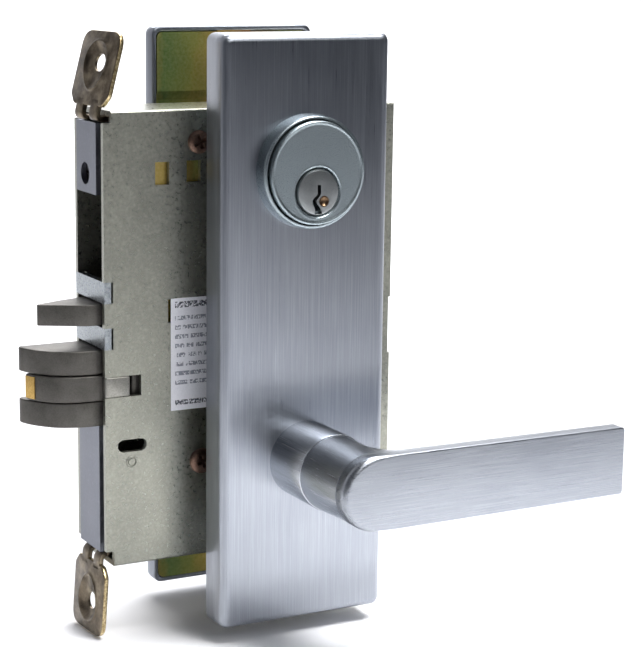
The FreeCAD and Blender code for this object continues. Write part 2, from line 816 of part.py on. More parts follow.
def cylinder_clamp_screw():
    y, z = clamp_screw_y, clamp_screw_z
    x0 = case_front + sheet
    x1 = x0 + clamp_head_length
    head = rod_x(clamp_head_r, x0, x1, y, z)
    slot = box(x0, x0 + clamp_slot_depth, y - clamp_slot_reach, y + clamp_slot_reach, z - clamp_slot_half,
               z + clamp_slot_half)
    shank = rod_x(clamp_screw_r, x1, clamp_lug_x[1] + 1.0, y, z)
    return join([head.cut(slot), shank])


# ---------------------------------------------------------------- front tabs
def tab(place, side, foot_z):
    """Leaf with a screw hole, on two legs that bend into a foot. side is 1 for the upper tab."""
    x, z, turn, lean = place
    t = tab_thickness
    w = tab_half_width
    leaf = box(0, t, -w, w, tab_shoulder, tab_tip)
    outer = [e for e in leaf.Edges if e.BoundBox.XLength > 1 and e.CenterOfMass.z > 0]
    leaf = leaf.makeFillet(tab_corner, outer)
    legs = [box(0, t, a, b, tab_leg_end, tab_shoulder) for a, b in (tab_leg, (-tab_leg[1], -tab_leg[0]))]
    body = leaf.fuse(legs).removeSplitter()
    body = body.cut([rod_x(tab_hole_r, 0, t, 0, 0), rod_x(tab_dimple_r, 0, t, 0, tab_dimple_z)])
    if side < 0:
        body = body.mirror(vec(0, 0, 0), vec(0, 0, 1))
    body.rotate(vec(0, 0, 0), vec(0, 1, 0), lean)
    body.rotate(vec(0, 0, 0), vec(0, 0, 1), turn)
    body.translate(vec(x, 0, z))
    foot = box(x_of_foot(place, side), tab_pin_x + foot_reach, -foot_half, foot_half, *foot_z)
    foot = foot.cut(rod_z(tab_pin_r + running_gap, foot_z[0], foot_z[1], tab_pin_x, 0))
    return join([body, foot])


def x_of_foot(place, side):
    """Where the legs end, measured along the case."""
    x, z, turn, lean = place
    return x + side * tab_leg_end * math.sin(math.radians(lean)) + foot_lap


def tab_pins():
    upper = rod_z(tab_pin_r, tab_pin_ends[0], case_top - sheet, tab_pin_x, 0)
    lower = rod_z(tab_pin_r, case_bottom + sheet, tab_pin_ends[1], tab_pin_x, 0)
    return Part.makeCompound([upper, lower])


write("case_shell", case_shell())
write("case_cover", case_cover())
write("front_plate_upper", front_plate_upper())
write("front_plate_lower", front_plate_lower())
write("front_bar_upper", front_bar(bar_upper_z))
write("front_bar_lower", front_bar(bar_lower_z))
write("case_standoffs", case_standoffs())
write("cover_screws", Part.makeCompound([pan_screw(*place) for place in screw_places]))
write("case_rivet", case_rivet())
write("case_label", case_label())
write("latch_head", latch_head())
write("latch_tail", latch_tail())
write("tongue_pin", tongue_pin())
write("antifriction_tongue", antifriction_tongue())
write("tongue_wear_strip", tongue_wear_strip())
write("tongue_fulcrum", tongue_fulcrum())
write("latch_guide", latch_guide())
write("latch_spring", latch_spring())
write("aux_latch", aux_latch())
write("aux_tail", aux_tail())
write("aux_guide", aux_guide())
write("aux_spring", aux_spring())
write("guard_lever", guard_lever())
write("guard_pivot_pin", guard_pivot_pin())
write("outside_hub", outside_hub())
write("inside_hub", hub(1))
write("hub_stop", hub_stop())
write("outside_spindle", outside_spindle())
write("outside_lever", outside_lever())
write("lever_set_screw", lever_set_screw())
write("outside_escutcheon", outside_escutcheon())
write("inside_escutcheon", inside_escutcheon())
write("inside_mounting_plate", inside_mounting_plate())
write("lever_collar", lever_collar())
write("spring_cage", spring_cage())
write("lever_spring", lever_spring())
write("cage_screws", cage_screws())
write("mounting_posts", mounting_posts())
write("through_bolts", through_bolts())
write("cylinder_housing", cylinder_housing())
write("cylinder_collar", cylinder_collar())
write("cylinder_plug", cylinder_plug())
write("key_pins", key_pins())
write("driver_pins", driver_pins())
write("pin_springs", pin_springs())
write("cylinder_cam", cylinder_cam())
write("cam_screws", cam_screws())
write("cylinder_clamp_plate", cylinder_clamp_plate())
write("cylinder_clamp_screw", cylinder_clamp_screw())
write("tab_top", tab(tab_upper, 1, foot_upper_z))
write("tab_bottom", tab(tab_lower, -1, foot_lower_z))
write("tab_pins", tab_pins())
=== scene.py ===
import json
import math

import bpy
import numpy as np
from mathutils import Matrix, Vector


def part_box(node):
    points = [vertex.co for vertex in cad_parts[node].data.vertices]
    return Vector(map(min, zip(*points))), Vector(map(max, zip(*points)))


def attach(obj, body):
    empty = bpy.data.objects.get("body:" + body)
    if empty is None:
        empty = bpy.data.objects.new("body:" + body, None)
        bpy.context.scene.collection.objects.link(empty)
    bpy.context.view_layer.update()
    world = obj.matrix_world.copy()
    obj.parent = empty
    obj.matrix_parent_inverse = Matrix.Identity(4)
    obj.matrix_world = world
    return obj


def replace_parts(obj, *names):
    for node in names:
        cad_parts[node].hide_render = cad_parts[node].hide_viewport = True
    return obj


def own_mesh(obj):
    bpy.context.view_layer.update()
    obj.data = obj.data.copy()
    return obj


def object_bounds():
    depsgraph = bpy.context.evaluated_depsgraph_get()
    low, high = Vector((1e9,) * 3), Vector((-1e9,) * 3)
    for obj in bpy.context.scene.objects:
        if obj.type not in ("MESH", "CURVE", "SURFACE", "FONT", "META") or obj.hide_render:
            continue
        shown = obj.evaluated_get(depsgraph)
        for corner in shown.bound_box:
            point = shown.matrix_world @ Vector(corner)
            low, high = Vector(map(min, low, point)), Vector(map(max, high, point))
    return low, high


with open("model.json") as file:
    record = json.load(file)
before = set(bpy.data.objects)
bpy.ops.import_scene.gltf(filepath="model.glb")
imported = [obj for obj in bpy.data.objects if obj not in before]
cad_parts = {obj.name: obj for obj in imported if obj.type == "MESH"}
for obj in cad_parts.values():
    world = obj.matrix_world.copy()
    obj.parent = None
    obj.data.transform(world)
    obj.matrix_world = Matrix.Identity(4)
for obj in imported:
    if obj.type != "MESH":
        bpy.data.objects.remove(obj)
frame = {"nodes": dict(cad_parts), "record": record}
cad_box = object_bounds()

# Looks for the mortise lock: case, latches, escutcheons, lever and cylinder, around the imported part.
MM = 0.001
TAU = 2 * math.pi


# ------------------------------------------------------------------ frame measures, in millimetres
def span(node):
    """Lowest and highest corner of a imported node, in millimetres."""
    low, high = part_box(node)
    return np.array(low) / MM, np.array(high) / MM


COVER_LOW = span("case_cover")[0]
OUTER_LOW, OUTER_HIGH = span("outside_escutcheon")
INNER_LOW, INNER_HIGH = span("inside_escutcheon")
COLLAR_LOW, COLLAR_HIGH = span("lever_collar")
LEVER_LOW, LEVER_HIGH = span("outside_lever")
RING_LOW, RING_HIGH = span("cylinder_collar")
HOUSING_LOW, HOUSING_HIGH = span("cylinder_housing")
PLUG_LOW, PLUG_HIGH = span("cylinder_plug")
HEAD_LOW, HEAD_HIGH = span("latch_head")
TONGUE_LOW, TONGUE_HIGH = span("antifriction_tongue")
AUX_LOW, AUX_HIGH = span("aux_latch")
LABEL_LOW, LABEL_HIGH = span("case_label")
CYLINDER_Z = (RING_LOW[2] + RING_HIGH[2]) / 2
PLUG_Z = 92.0
# Centre of the small dish beside the keyway.
DISH = (2.1, PLUG_LOW[1], PLUG_Z - 3.0)
# Distance between the label's rows, and from its top edge to its first row.
LABEL_ROW = 3.18
LABEL_FIRST = 6.8


# ------------------------------------------------------------------ mesh tools
def piece(name, points, faces, body, material, sharp=32, uv=None):
    """One mesh object from points in millimetres. uv gives two axes whose millimetres become the UV map."""
    mesh = bpy.data.meshes.new(name)
    mesh.from_pydata(np.asarray(points, float) * MM, [], faces)
    mesh.validate()
    mesh.shade_smooth()
    mesh.set_sharp_from_angle(angle=math.radians(sharp))
    if uv:
        layer = mesh.uv_layers.new(name="UVMap")
        corner = np.empty(len(mesh.loops), np.int32)
        mesh.loops.foreach_get("vertex_index", corner)
        flat = np.asarray(points, float)[corner][:, list(uv)]
        layer.uv.foreach_set("vector", np.ascontiguousarray(flat, np.float32).ravel())
    obj = bpy.data.objects.new(name, mesh)
    bpy.context.scene.collection.objects.link(obj)
    mesh.materials.append(material)
    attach(obj, body)
    return obj


def loft_faces(rows, columns, closed_rows=False, caps=True):
    """Quads between rings of points, with a flat face over each end ring."""
    r = np.arange(rows if closed_rows else rows - 1)[:, None]
    c = np.arange(columns)[None, :]
    nr, nc = (r + 1) % rows, (c + 1) % columns
    quads = np.stack([r * columns + c, r * columns + nc, nr * columns + nc, nr * columns + c], -1)
    faces = quads.reshape(-1, 4).tolist()
    if caps and not closed_rows:
        faces.append(list(range(columns))[::-1])
        faces.append(list(range((rows - 1) * columns, rows * columns)))
    return faces


def outward(points, faces):
    """Faces turned so that the closed surface has positive volume, the sum of a . (b x c) over triangles."""
    fans = [[(f[0], f[i], f[i + 1]) for i in range(1, len(f) - 1)] for f in faces]
    a, b, c = np.asarray(points, float)[np.concatenate(fans)].transpose(1, 0, 2)
    volume = (a * np.cross(b, c)).sum()
    return faces if volume > 0 else [f[::-1] for f in faces]


def loft(name, rings, body, material, closed_rows=False, sharp=32, uv=None):
    """Closed surface through a stack of rings of equal length."""
    rings = np.asarray(rings, float)
    points = rings.reshape(-1, 3)
    faces = outward(points, loft_faces(len(rings), rings.shape[1], closed_rows))
    return piece(name, points, faces, body, material, sharp, uv)


def circle_ring(radius, y, x=0.0, z=0.0, count=96):
    """Circle in a plane of constant y."""
    a = np.linspace(0, TAU, count, endpoint=False)
    return np.stack([x + radius * np.cos(a), np.full(count, y), z + radius * np.sin(a)], 1)


def turned(profile, x=0.0, z=0.0, count=96):
    """Rings of a turned shape from (radius, y) pairs."""
    return [circle_ring(r, y, x, z, count) for r, y in profile]


def round_rect(x0, x1, z0, z1, r, steps=8):
    """Rectangle with rounded corners as (x, z) pairs, anticlockwise."""
    a = np.linspace(0, math.pi / 2, steps + 1)
    corners = ((x1 - r, z1 - r, 0), (x0 + r, z1 - r, 1), (x0 + r, z0 + r, 2), (x1 - r, z0 + r, 3))
    parts = []
    for cx, cz, quarter in corners:
        turn = a + quarter * math.pi / 2
        parts.append(np.stack([cx + r * np.cos(turn), cz + r * np.sin(turn)], 1))
    return np.concatenate(parts)


def flat_ring(outline, y):
    """(x, z) outline placed at one y."""
    return np.stack([outline[:, 0], np.full(len(outline), y), outline[:, 1]], 1)


def plan_ring(outline, z):
    """(x, y) outline placed at one height."""
    return np.stack([outline[:, 0], outline[:, 1], np.full(len(outline), z)], 1)


def inset(outline, amount):
    """Outline moved inwards by amount, along the average of its two edge normals."""
    before = outline - np.roll(outline, 1, 0)
    after = np.roll(outline, -1, 0) - outline

    def normal(edge):
        n = np.stack([edge[:, 1], -edge[:, 0]], 1)
        return n / np.maximum(np.linalg.norm(n, axis=1), 1e-9)[:, None]

    n0, n1 = normal(before), normal(after)
    middle = n0 + n1
    middle /= np.maximum(np.linalg.norm(middle, axis=1), 1e-9)[:, None]
    reach = np.clip(1 / np.maximum((middle * n0).sum(1), 0.5), 1, 2)
    ahead = np.roll(outline, -1, 0)
    area = 0.5 * (outline[:, 0] * ahead[:, 1] - ahead[:, 0] * outline[:, 1]).sum()
    return outline - np.sign(area) * middle * (amount * reach)[:, None]


def smoothstep(a, b, x):
    """0 below a, 1 above b, and a smooth cubic between."""
    t = np.clip((x - a) / (b - a), 0, 1)
    return t * t * (3 - 2 * t)


def smooth_path(points, steps=6):
    """Catmull-Rom curve through a short open list of points."""
    p = np.asarray(points, float)
    p = np.concatenate([[2 * p[0] - p[1]], p, [2 * p[-1] - p[-2]]])
    t = np.linspace(0, 1, steps, endpoint=False)[:, None]
    a, b, c, d = p[:-3, None], p[1:-2, None], p[2:-1, None], p[3:, None]
    square, cube = 2 * a - 5 * b + 4 * c - d, 3 * b - a - 3 * c + d
    curve = 0.5 * (2 * b + (c - a) * t + square * t ** 2 + cube * t ** 3)
    return np.concatenate([curve.reshape(-1, p.shape[1]), p[-2:-1]])


def round_corners(points, radius, steps=4):
    """Closed outline whose corners are replaced by arcs (quadratic curves) of about that radius."""
    p = np.asarray(points, float)
    r = np.broadcast_to(np.asarray(radius, float), len(p))
    parts = []
    t = np.linspace(0, 1, steps + 1)[:, None]
    for i in range(len(p)):
        back, here, ahead = p[i - 1], p[i], p[(i + 1) % len(p)]
        u, v = back - here, ahead - here
        cut = min(r[i], 0.45 * np.linalg.norm(u), 0.45 * np.linalg.norm(v))
        a = here + u / np.linalg.norm(u) * cut
        b = here + v / np.linalg.norm(v) * cut
        parts.append((1 - t) ** 2 * a + 2 * t * (1 - t) * here + t ** 2 * b)
    return np.concatenate(parts)


def edge_levels(low, high, radius, steps=4):
    """(inset, level) pairs that round both end edges of a prism."""
    a = np.linspace(0, math.pi / 2, steps + 1)
    start = [(radius * (1 - math.sin(t)), low + radius * (1 - math.cos(t))) for t in a]
    return start + [(i, low + high - level) for i, level in reversed(start)]


def prism(name, outline, low, high, radius, place, body, material, slot):
    """Outline carried from low to high with rounded end edges. place is flat_ring or plan_ring."""
    rings = [place(inset(outline, i), level) for i, level in edge_levels(low, high, radius)]
    return loft(name, rings, body, material)


def applied(obj):
    """Replaces the object's mesh by the one its modifiers make."""
    bpy.context.view_layer.update()
    made = bpy.data.meshes.new_from_object(obj.evaluated_get(bpy.context.evaluated_depsgraph_get()))
    made.name = obj.name
    obj.modifiers.clear()
    obj.data = made
    made.shade_smooth()
    made.set_sharp_from_angle(angle=math.radians(32))
    return obj


def carve(obj, rings_list):
    """Cuts closed lofts out of the piece."""
    for rings in rings_list:
        rings = np.asarray(rings, float)
        points = rings.reshape(-1, 3)
        mesh = bpy.data.meshes.new("cutter")
        mesh.from_pydata(points * MM, [], outward(points, loft_faces(len(rings), rings.shape[1])))
        cutter = bpy.data.objects.new("cutter", mesh)
        bpy.context.scene.collection.objects.link(cutter)
        cut = obj.modifiers.new("cut", "BOOLEAN")
        cut.solver = "EXACT"
        cut.operation = "DIFFERENCE"
        cut.object = cutter
        applied(obj)
        bpy.data.objects.remove(cutter)
        bpy.data.meshes.remove(mesh)
    return obj


# ------------------------------------------------------------------ material tools
# Where most of a noise pattern's values lie.
NOISE_SPAN = {"From Min": 0.25, "From Max": 0.75}


def rgb(code):
    """sRGB hex to a linear colour."""
    s = np.array([int(code[i:i + 2], 16) / 255 for i in (0, 2, 4)])
    linear = np.where(s <= 0.04045, s / 12.92, ((s + 0.055) / 1.055) ** 2.4)
    return (*linear.tolist(), 1.0)


def add(tree, kind, inputs=None, out=0, stops=(), **settings):
    """Adds a shader node with its settings, values, links and colour stops. Gives its output out."""
    n = tree.nodes.new("ShaderNode" + kind)
    for key, value in settings.items():
        setattr(n, key, value)
    for key, value in (inputs or {}).items():
        if isinstance(value, bpy.types.NodeSocket):
            tree.links.new(value, n.inputs[key])
        else:
            n.inputs[key].default_value = value
    if stops:
        elements = n.color_ramp.elements
        while len(elements) < len(stops):
            elements.new(0.5)
        for element, (position, code) in zip(elements, stops):
            element.position = position
            element.color = rgb(code)
    return n.outputs[out] if n.outputs else None


def begin(name):
    """Empty material, its node tree and the Object coordinates."""
    material = bpy.data.materials.new(name)
    material.use_nodes = True
    tree = material.node_tree
    tree.nodes.clear()
    return material, tree, add(tree, "TexCoord", out="Object")


def finish(tree, inputs):
    """Principled shader with those inputs, on the material's output."""
    add(tree, "OutputMaterial", {"Surface": add(tree, "BsdfPrincipled", inputs)})


def grain(tree, coords, size_mm, detail=3, rough=0.55, offset=0.0):
    """Noise pattern whose cells measure size_mm along x, y and z."""
    scale = [1000 / s for s in size_mm]
    moved = add(tree, "Mapping", {"Vector": coords, "Location": (offset, offset, offset), "Scale": scale})
    noise = {"Vector": moved, "Scale": 1.0, "Detail": detail, "Roughness": rough}
    return add(tree, "TexNoise", noise, out="Fac")


# ------------------------------------------------------------------ materials
def satin_chrome(name, along, tint, rough=(0.24, 0.40), anisotropic=0.6, flat=True):
    """Satin chrome plate on brass, brushed with a belt. The eye sees a cool grey metal whose highlights are
    drawn out across long parallel hairlines. Hairlines are 0.3 mm apart, coarser than real ones so that they
    show, and 30 mm long, in bands 1.6 mm wide; along is their axis."""
    material, tree, coords = begin(name)
    hairline = [0.30, 0.30, 0.30]
    hairline[along] = 30.0
    band = [1.6, 1.6, 1.6]
    band[along] = 60.0
    fine = grain(tree, coords, hairline, detail=4, rough=0.7)
    broad = grain(tree, coords, band, detail=2, offset=0.3)
    cloud = grain(tree, coords, (45, 45, 45), detail=2, offset=0.7)
    colour = add(tree, "ValToRGB", {"Fac": fine}, stops=((0.2, "868b93"), (0.5, tint), (0.85, "c0c4ca")))
    cast = add(tree, "ValToRGB", {"Fac": cloud}, stops=((0.3, "90959e"), (0.7, "b0b4ba")))
    most = add(tree, "Math", {0: fine, 1: 0.72}, operation="MULTIPLY")
    lines = add(tree, "Math", {0: broad, 1: 0.28, 2: most}, operation="MULTIPLY_ADD")
    look = {
        "Base Color": add(tree, "MixRGB", {"Fac": 0.35, "Color1": colour, "Color2": cast}),
        "Metallic": 1.0,
        "Roughness": add(tree, "MapRange", {"Value": lines, **NOISE_SPAN, "To Min": rough[0],
                                            "To Max": rough[1]}),
        "Anisotropic": anisotropic,
        "Normal": add(tree, "Bump", {"Height": lines, "Distance": 0.012 * MM, "Strength": 1.0}),
    }
    if flat:
        look["Tangent"] = add(tree, "Tangent", direction_type="UV_MAP", uv_map="UVMap")
    finish(tree, look)
    return material


def mixed_metal(tree, share, first, second, metallic, pattern, rough, depth_mm):
    """Finishes a metal whose colour is share of the way from first to second. The pattern sets its
    roughness, from rough[0] to rough[1], and a relief of depth_mm."""
    finish(tree, {
        "Base Color": add(tree, "MixRGB", {"Fac": share, "Color1": first, "Color2": second}),
        "Metallic": metallic,
        "Roughness": add(tree, "MapRange", {"Value": pattern, **NOISE_SPAN, "To Min": rough[0],
                                            "To Max": rough[1]}),
        "Normal": add(tree, "Bump", {"Height": pattern, "Distance": depth_mm * MM, "Strength": 1.0}),
    })


def zinc_sheet(name, low, high, warm, rough):
    """Zinc-plated sheet steel, rolled, pressed and barrel plated. The eye sees a soft satin grey with pale
    crystals 1.3 mm wide and cloudy handling marks about 30 mm wide."""
    material, tree, coords = begin(name)
    mottle = grain(tree, coords, (1.3, 1.3, 1.3), detail=5, rough=0.7)
    patch = grain(tree, coords, (28, 28, 42), detail=3, offset=0.4)
    base = add(tree, "ValToRGB", {"Fac": patch}, stops=((0.3, low), (0.7, high)))
    specks = add(tree, "ValToRGB", {"Fac": mottle}, stops=((0.45, low), (0.60, high), (0.72, warm)))
    mixed_metal(tree, 0.4, base, specks, 0.85, mottle, (rough - 0.06, rough + 0.12), 0.006)
    return material


def sintered_steel(name, dark, light, rough=0.45):
    """Sintered steel, tumbled and oiled. The eye sees a dull grey-brown skin that breaks highlights up, with
    pores 0.45 mm wide and stains 6 mm wide."""
    material, tree, coords = begin(name)
    pores = grain(tree, coords, (0.45, 0.45, 0.45), detail=4, rough=0.7)
    patch = grain(tree, coords, (6, 6, 6), detail=3, offset=0.2)
    stains = add(tree, "ValToRGB", {"Fac": patch}, stops=((0.3, dark), (0.7, light)))
    skin = add(tree, "ValToRGB", {"Fac": pores}, stops=((0.3, dark), (0.6, light)))
    mixed_metal(tree, 0.5, stains, skin, 0.75, pores, (rough - 0.08, rough + 0.15), 0.04)
    return material


def dichromate(name):
    """Steel with a yellow zinc dichromate dip. The eye sees a thin iridescent film that runs from yellow
    through green to orange across the part, in clouds 9 to 16 mm wide over a 1 mm grain."""
    material, tree, coords = begin(name)
    cloud = grain(tree, coords, (9, 9, 16), detail=4, rough=0.6)
    fine = grain(tree, coords, (1.0, 1.0, 1.0), detail=3, offset=0.6)
    across = add(tree, "SeparateXYZ", {"Vector": coords}, out="X")
    shift = add(tree, "Math", {0: cloud, 1: 0.016, 2: across}, operation="MULTIPLY_ADD")
    run = add(tree, "MapRange", {"Value": shift, "From Min": -0.038, "From Max": 0.062})
    film = add(tree, "ValToRGB", {"Fac": run}, stops=(
        (0.0, "c9aa5c"), (0.14, "bda450"), (0.20, "6f9455"), (0.30, "a3a450"),
        (0.42, "d2a857"), (0.52, "c98455"), (0.66, "8fa562"), (0.85, "cfae5c")))
    dull = add(tree, "ValToRGB", {"Fac": fine}, stops=((0.3, "8f8a4e"), (0.7, "d9cf9a")))
    mixed_metal(tree, 0.25, film, dull, 0.9, fine, (0.28, 0.42), 0.01)
    return material


def plain_metal(name, dark, light, rough, size_mm=0.8, depth=0.01, spot=None):
    """Turned, drawn or headed metal, tumbled clean. The eye sees one even metal colour with a faint skin,
    size_mm wide, that softens its highlights. spot gives the centre of a bare brass dish in its face."""
    material, tree, coords = begin(name)
    skin = grain(tree, coords, (size_mm, size_mm, size_mm), detail=4, rough=0.65)
    colour = add(tree, "ValToRGB", {"Fac": skin}, stops=((0.25, dark), (0.75, light)))
    inside = 0.0
    if spot is not None:
        centre = [v * MM for v in spot]
        away = add(tree, "VectorMath", {0: coords, 1: centre}, out="Value", operation="DISTANCE")
        inside = add(tree, "MapRange", {"Value": away, "From Min": 0.0020, "From Max": 0.0017})
    mixed_metal(tree, inside, colour, rgb("6f5a46"), 1.0, skin, (rough - 0.05, rough + 0.1), depth)
    return material


def label_paper(name):
    """White coated paper, printed with plain grey lines of dashes in place of words, and a darker heading
    and footing. The eye sees small print too fine to read. Rows are LABEL_ROW apart, strokes 0.6 mm wide
    and paper fibres 0.5 mm."""
    material, tree, coords = begin(name)
    x = add(tree, "SeparateXYZ", {"Vector": coords}, out="X")
    z = add(tree, "SeparateXYZ", {"Vector": coords}, out="Z")
    down = add(tree, "Math", {0: z, 1: -1000, 2: LABEL_HIGH[2]}, operation="MULTIPLY_ADD")
    first = 1.5 - LABEL_FIRST / LABEL_ROW
    row = add(tree, "Math", {0: down, 1: 1 / LABEL_ROW, 2: first}, operation="MULTIPLY_ADD")
    phase = add(tree, "Math", {0: row}, operation="FRACT")
    line = add(tree, "Math", {0: phase, 1: 0.5, 2: 0.23}, operation="COMPARE")
    body = add(tree, "Math", {0: row, 1: 5.0, 2: 4.0}, operation="COMPARE")
    line = add(tree, "Math", {0: line, 1: body}, operation="MULTIPLY")
    heading = add(tree, "Math", {0: down, 1: 2.2, 2: 1.05}, operation="COMPARE")
    footing = add(tree, "Math", {0: down, 1: 36.0, 2: 0.85}, operation="COMPARE")
    bold = add(tree, "Math", {0: heading, 1: footing}, operation="MAXIMUM")
    line = add(tree, "Math", {0: line, 1: bold}, operation="MAXIMUM")
    number = add(tree, "Math", {0: row}, operation="FLOOR")
    place = add(tree, "CombineXYZ", {"X": x, "Z": number})
    scaled = add(tree, "Mapping", {"Vector": place, "Scale": (1000 / 1.6, 1, 7.3)})
    dashes = add(tree, "TexNoise", {"Vector": scaled, "Scale": 1.0, "Detail": 1.0}, out="Fac")
    words = add(tree, "MapRange", {"Value": dashes, "From Min": 0.36, "From Max": 0.42})
    specks = grain(tree, coords, (0.62, 4, 0.7), detail=1)
    strokes = add(tree, "MapRange", {"Value": specks, "From Min": 0.40, "From Max": 0.50})
    mark = add(tree, "Math", {0: words, 1: strokes}, operation="MULTIPLY")
    printed = add(tree, "Math", {0: x, 1: (LABEL_LOW[0] + 1.5) * MM}, operation="GREATER_THAN")
    ink = add(tree, "Math", {0: line, 1: mark}, operation="MULTIPLY")
    ink = add(tree, "Math", {0: ink, 1: printed}, operation="MULTIPLY")
    fibre = grain(tree, coords, (0.5, 0.5, 0.5))
    paper = add(tree, "ValToRGB", {"Fac": fibre}, stops=((0.2, "dfe0e6"), (0.8, "eeeef3")))
    tone = add(tree, "MixRGB", {"Fac": bold, "Color1": rgb("8a8d97"), "Color2": rgb("4c4e57")})
    finish(tree, {
        "Base Color": add(tree, "MixRGB", {"Fac": ink, "Color1": paper, "Color2": tone}),
        "Roughness": 0.55,
        "IOR": 1.5,
        "Normal": add(tree, "Bump", {"Height": fibre, "Distance": 0.004 * MM, "Strength": 1.0}),
    })
    return material


def tab_steel(name):
    """Nickel-flashed spring steel, blanked and tumbled. The eye sees brown-grey clouds 4.5 mm wide over a
    0.7 mm skin, and a bright raw edge where the sheet was torn by the blanking die."""
    material, tree, coords = begin(name)
    cloud = grain(tree, coords, (4.5, 4.5, 4.5), detail=4, rough=0.6)
    skin = grain(tree, coords, (0.7, 0.7, 0.7), detail=4, rough=0.65, offset=0.5)
    colour = add(tree, "ValToRGB", {"Fac": cloud}, stops=(
        (0.32, "50483d"), (0.50, "6d6355"), (0.68, "8e8370")))
    raw = add(tree, "Attribute", out="Fac", attribute_name="raw_edge", attribute_type="GEOMETRY")
    torn = add(tree, "ValToRGB", {"Fac": skin}, stops=((0.35, "8b7651"), (0.65, "e2cfa2")))
    mixed_metal(tree, raw, colour, torn, 1.0, skin, (0.26, 0.42), 0.03)
    return material


CHROME_PLATE = satin_chrome("satin_chrome_brushed_upright", 2, "9a9ea6")
# The lever's middle tint is a little darker than the plate's: painted shade that dims the blade's reflection.
CHROME_LEVER = satin_chrome("satin_chrome_brushed_along_lever", 0, "94989f", rough=(0.22, 0.36))
CHROME_ROUND = satin_chrome("satin_chrome_brushed_round", 1, "d4d8dd", rough=(0.2, 0.3), anisotropic=0.3,
                            flat=False)
CHROME_CYLINDER = plain_metal("satin_chrome_cylinder", "939ea2", "a3adb1", 0.27, size_mm=0.3, depth=0.002)
ZINC_CASE = zinc_sheet("zinc_plated_case", "84857c", "a3a397", "bdb9ac", rough=0.28)
ZINC_FRONT = zinc_sheet("zinc_plated_front", "6c6f78", "83868f", "a0a2ab", rough=0.38)
SINTERED = sintered_steel("sintered_latch_steel", "4a4844", "6d6a65")
EAR_STEEL = sintered_steel("rubbed_sintered_steel", "6f6e69", "a7a59d", rough=0.34)
DARK_STEEL = plain_metal("blackened_screw_steel", "1d1c1c", "3a3837", 0.5)
ZINC_BAR = zinc_sheet("spangled_zinc_bar", "80878c", "b0b5b8", "dcdedd", rough=0.26)
DICHROMATE = dichromate("yellow_dichromate_steel")
COPPER = plain_metal("copper_plated_screw_steel", "54423a", "8d7263", 0.34, size_mm=0.5)
TAB_STEEL = tab_steel("nickel_brown_tab_steel")
PLUG_FACE = plain_metal("satin_chrome_plug", "8b8f90", "a0a3a3", 0.3, size_mm=0.3, depth=0.002, spot=DISH)
SPRING_WIRE = plain_metal("bright_spring_wire", "8d8f94", "b9bcc2", 0.25, size_mm=0.4)
BRASS = plain_metal("plain_brass", "a98445", "d8b873", 0.30, size_mm=0.5)
PLAIN_STEEL = plain_metal("machined_steel", "85878c", "adb0b5", 0.34, size_mm=0.7)
PAPER = label_paper("printed_label_paper")

SLOT_MATERIALS = {
    "zinc_steel": ZINC_CASE, "zinc_front": ZINC_FRONT, "satin_chrome": CHROME_ROUND,
    "sintered_steel": SINTERED, "dichromate": DICHROMATE, "copper_screw": COPPER, "label_paper": PAPER,
    "spring_steel": SPRING_WIRE, "brass": BRASS, "tab_steel": TAB_STEEL, "plain_steel": PLAIN_STEEL,
}


def dress_cad_nodes():
    """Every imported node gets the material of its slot, and a few get a finish of their own."""
    for entry in frame["record"]["subparts"]:
        obj = frame["nodes"][entry["node"]]
        obj.data.materials.clear()
        obj.data.materials.append(SLOT_MATERIALS[entry["material_slot"]])
    for name in ("front_bar_upper", "front_bar_lower"):
        frame["nodes"][name].data.materials[0] = ZINC_BAR
    frame["nodes"]["cylinder_clamp_screw"].data.materials[0] = DARK_STEEL
    frame["nodes"]["case_rivet"].data.materials[0] = ZINC_CASE


# ------------------------------------------------------------------ escutcheons
LEVER_HOLE = 13.3
INNER_PAN_DEPTH = 8.0


def pan_rings(low, high, rim, face, wall=1.6, corner=3.0, edge=2.8, steps=6):
    """Rings of a shallow pan. Rounded rectangles step out from the inner face, down the inner wall to the
    rim, up the outer wall, and over a quarter circle of radius edge to the outer face."""
    inward = 1 if rim > face else -1
    x0, x1, z0, z1 = low[0], high[0], low[2], high[2]

    def outline(i):
        return round_rect(x0 + i, x1 - i, z0 + i, z1 - i, max(corner - i * 0.6, 0.6))

    levels = [(outline(wall + 0.9), face + inward * wall)]
    levels.append((outline(wall), face + inward * (wall + 0.9)))
    levels.append((outline(wall), rim - inward * 0.2))
    levels.append((outline(wall - 0.25), rim))
    levels.append((outline(0.25), rim))
    levels.append((outline(0.0), rim - inward * 0.25))
    for t in np.linspace(0, math.pi / 2, steps + 1):
        levels.append((outline(edge * (1 - math.cos(t))), face + inward * (edge - edge * math.sin(t))))
    return [flat_ring(o, y) for o, y in levels]


def toward_circle(ring, radius, y, x=0.0, z=0.0):
    """Ring's points moved straight towards (x, z) until they lie on a circle."""
    d = ring[:, [0, 2]] - [x, z]
    d = d / np.linalg.norm(d, axis=1)[:, None] * radius
    return np.stack([x + d[:, 0], np.full(len(ring), y), z + d[:, 1]], 1)


def outside_escutcheon():
    """Pan that faces the outside, closed over its whole face."""
    rings = pan_rings(OUTER_LOW, OUTER_HIGH, OUTER_HIGH[1], OUTER_LOW[1])
    obj = loft("escutcheon_outside", rings, "lock_case", CHROME_PLATE, sharp=50, uv=(0, 2))
    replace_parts(obj, "outside_escutcheon")


def dense(outline, count):
    """Closed outline resampled to count points, evenly along its length."""
    closed = np.concatenate([outline, outline[:1]])
    s = np.concatenate([[0], np.cumsum(np.linalg.norm(np.diff(closed, axis=0), axis=1))])
    t = np.linspace(0, s[-1], count, endpoint=False)
    return np.stack([np.interp(t, s, closed[:, k]) for k in range(closed.shape[1])], 1)


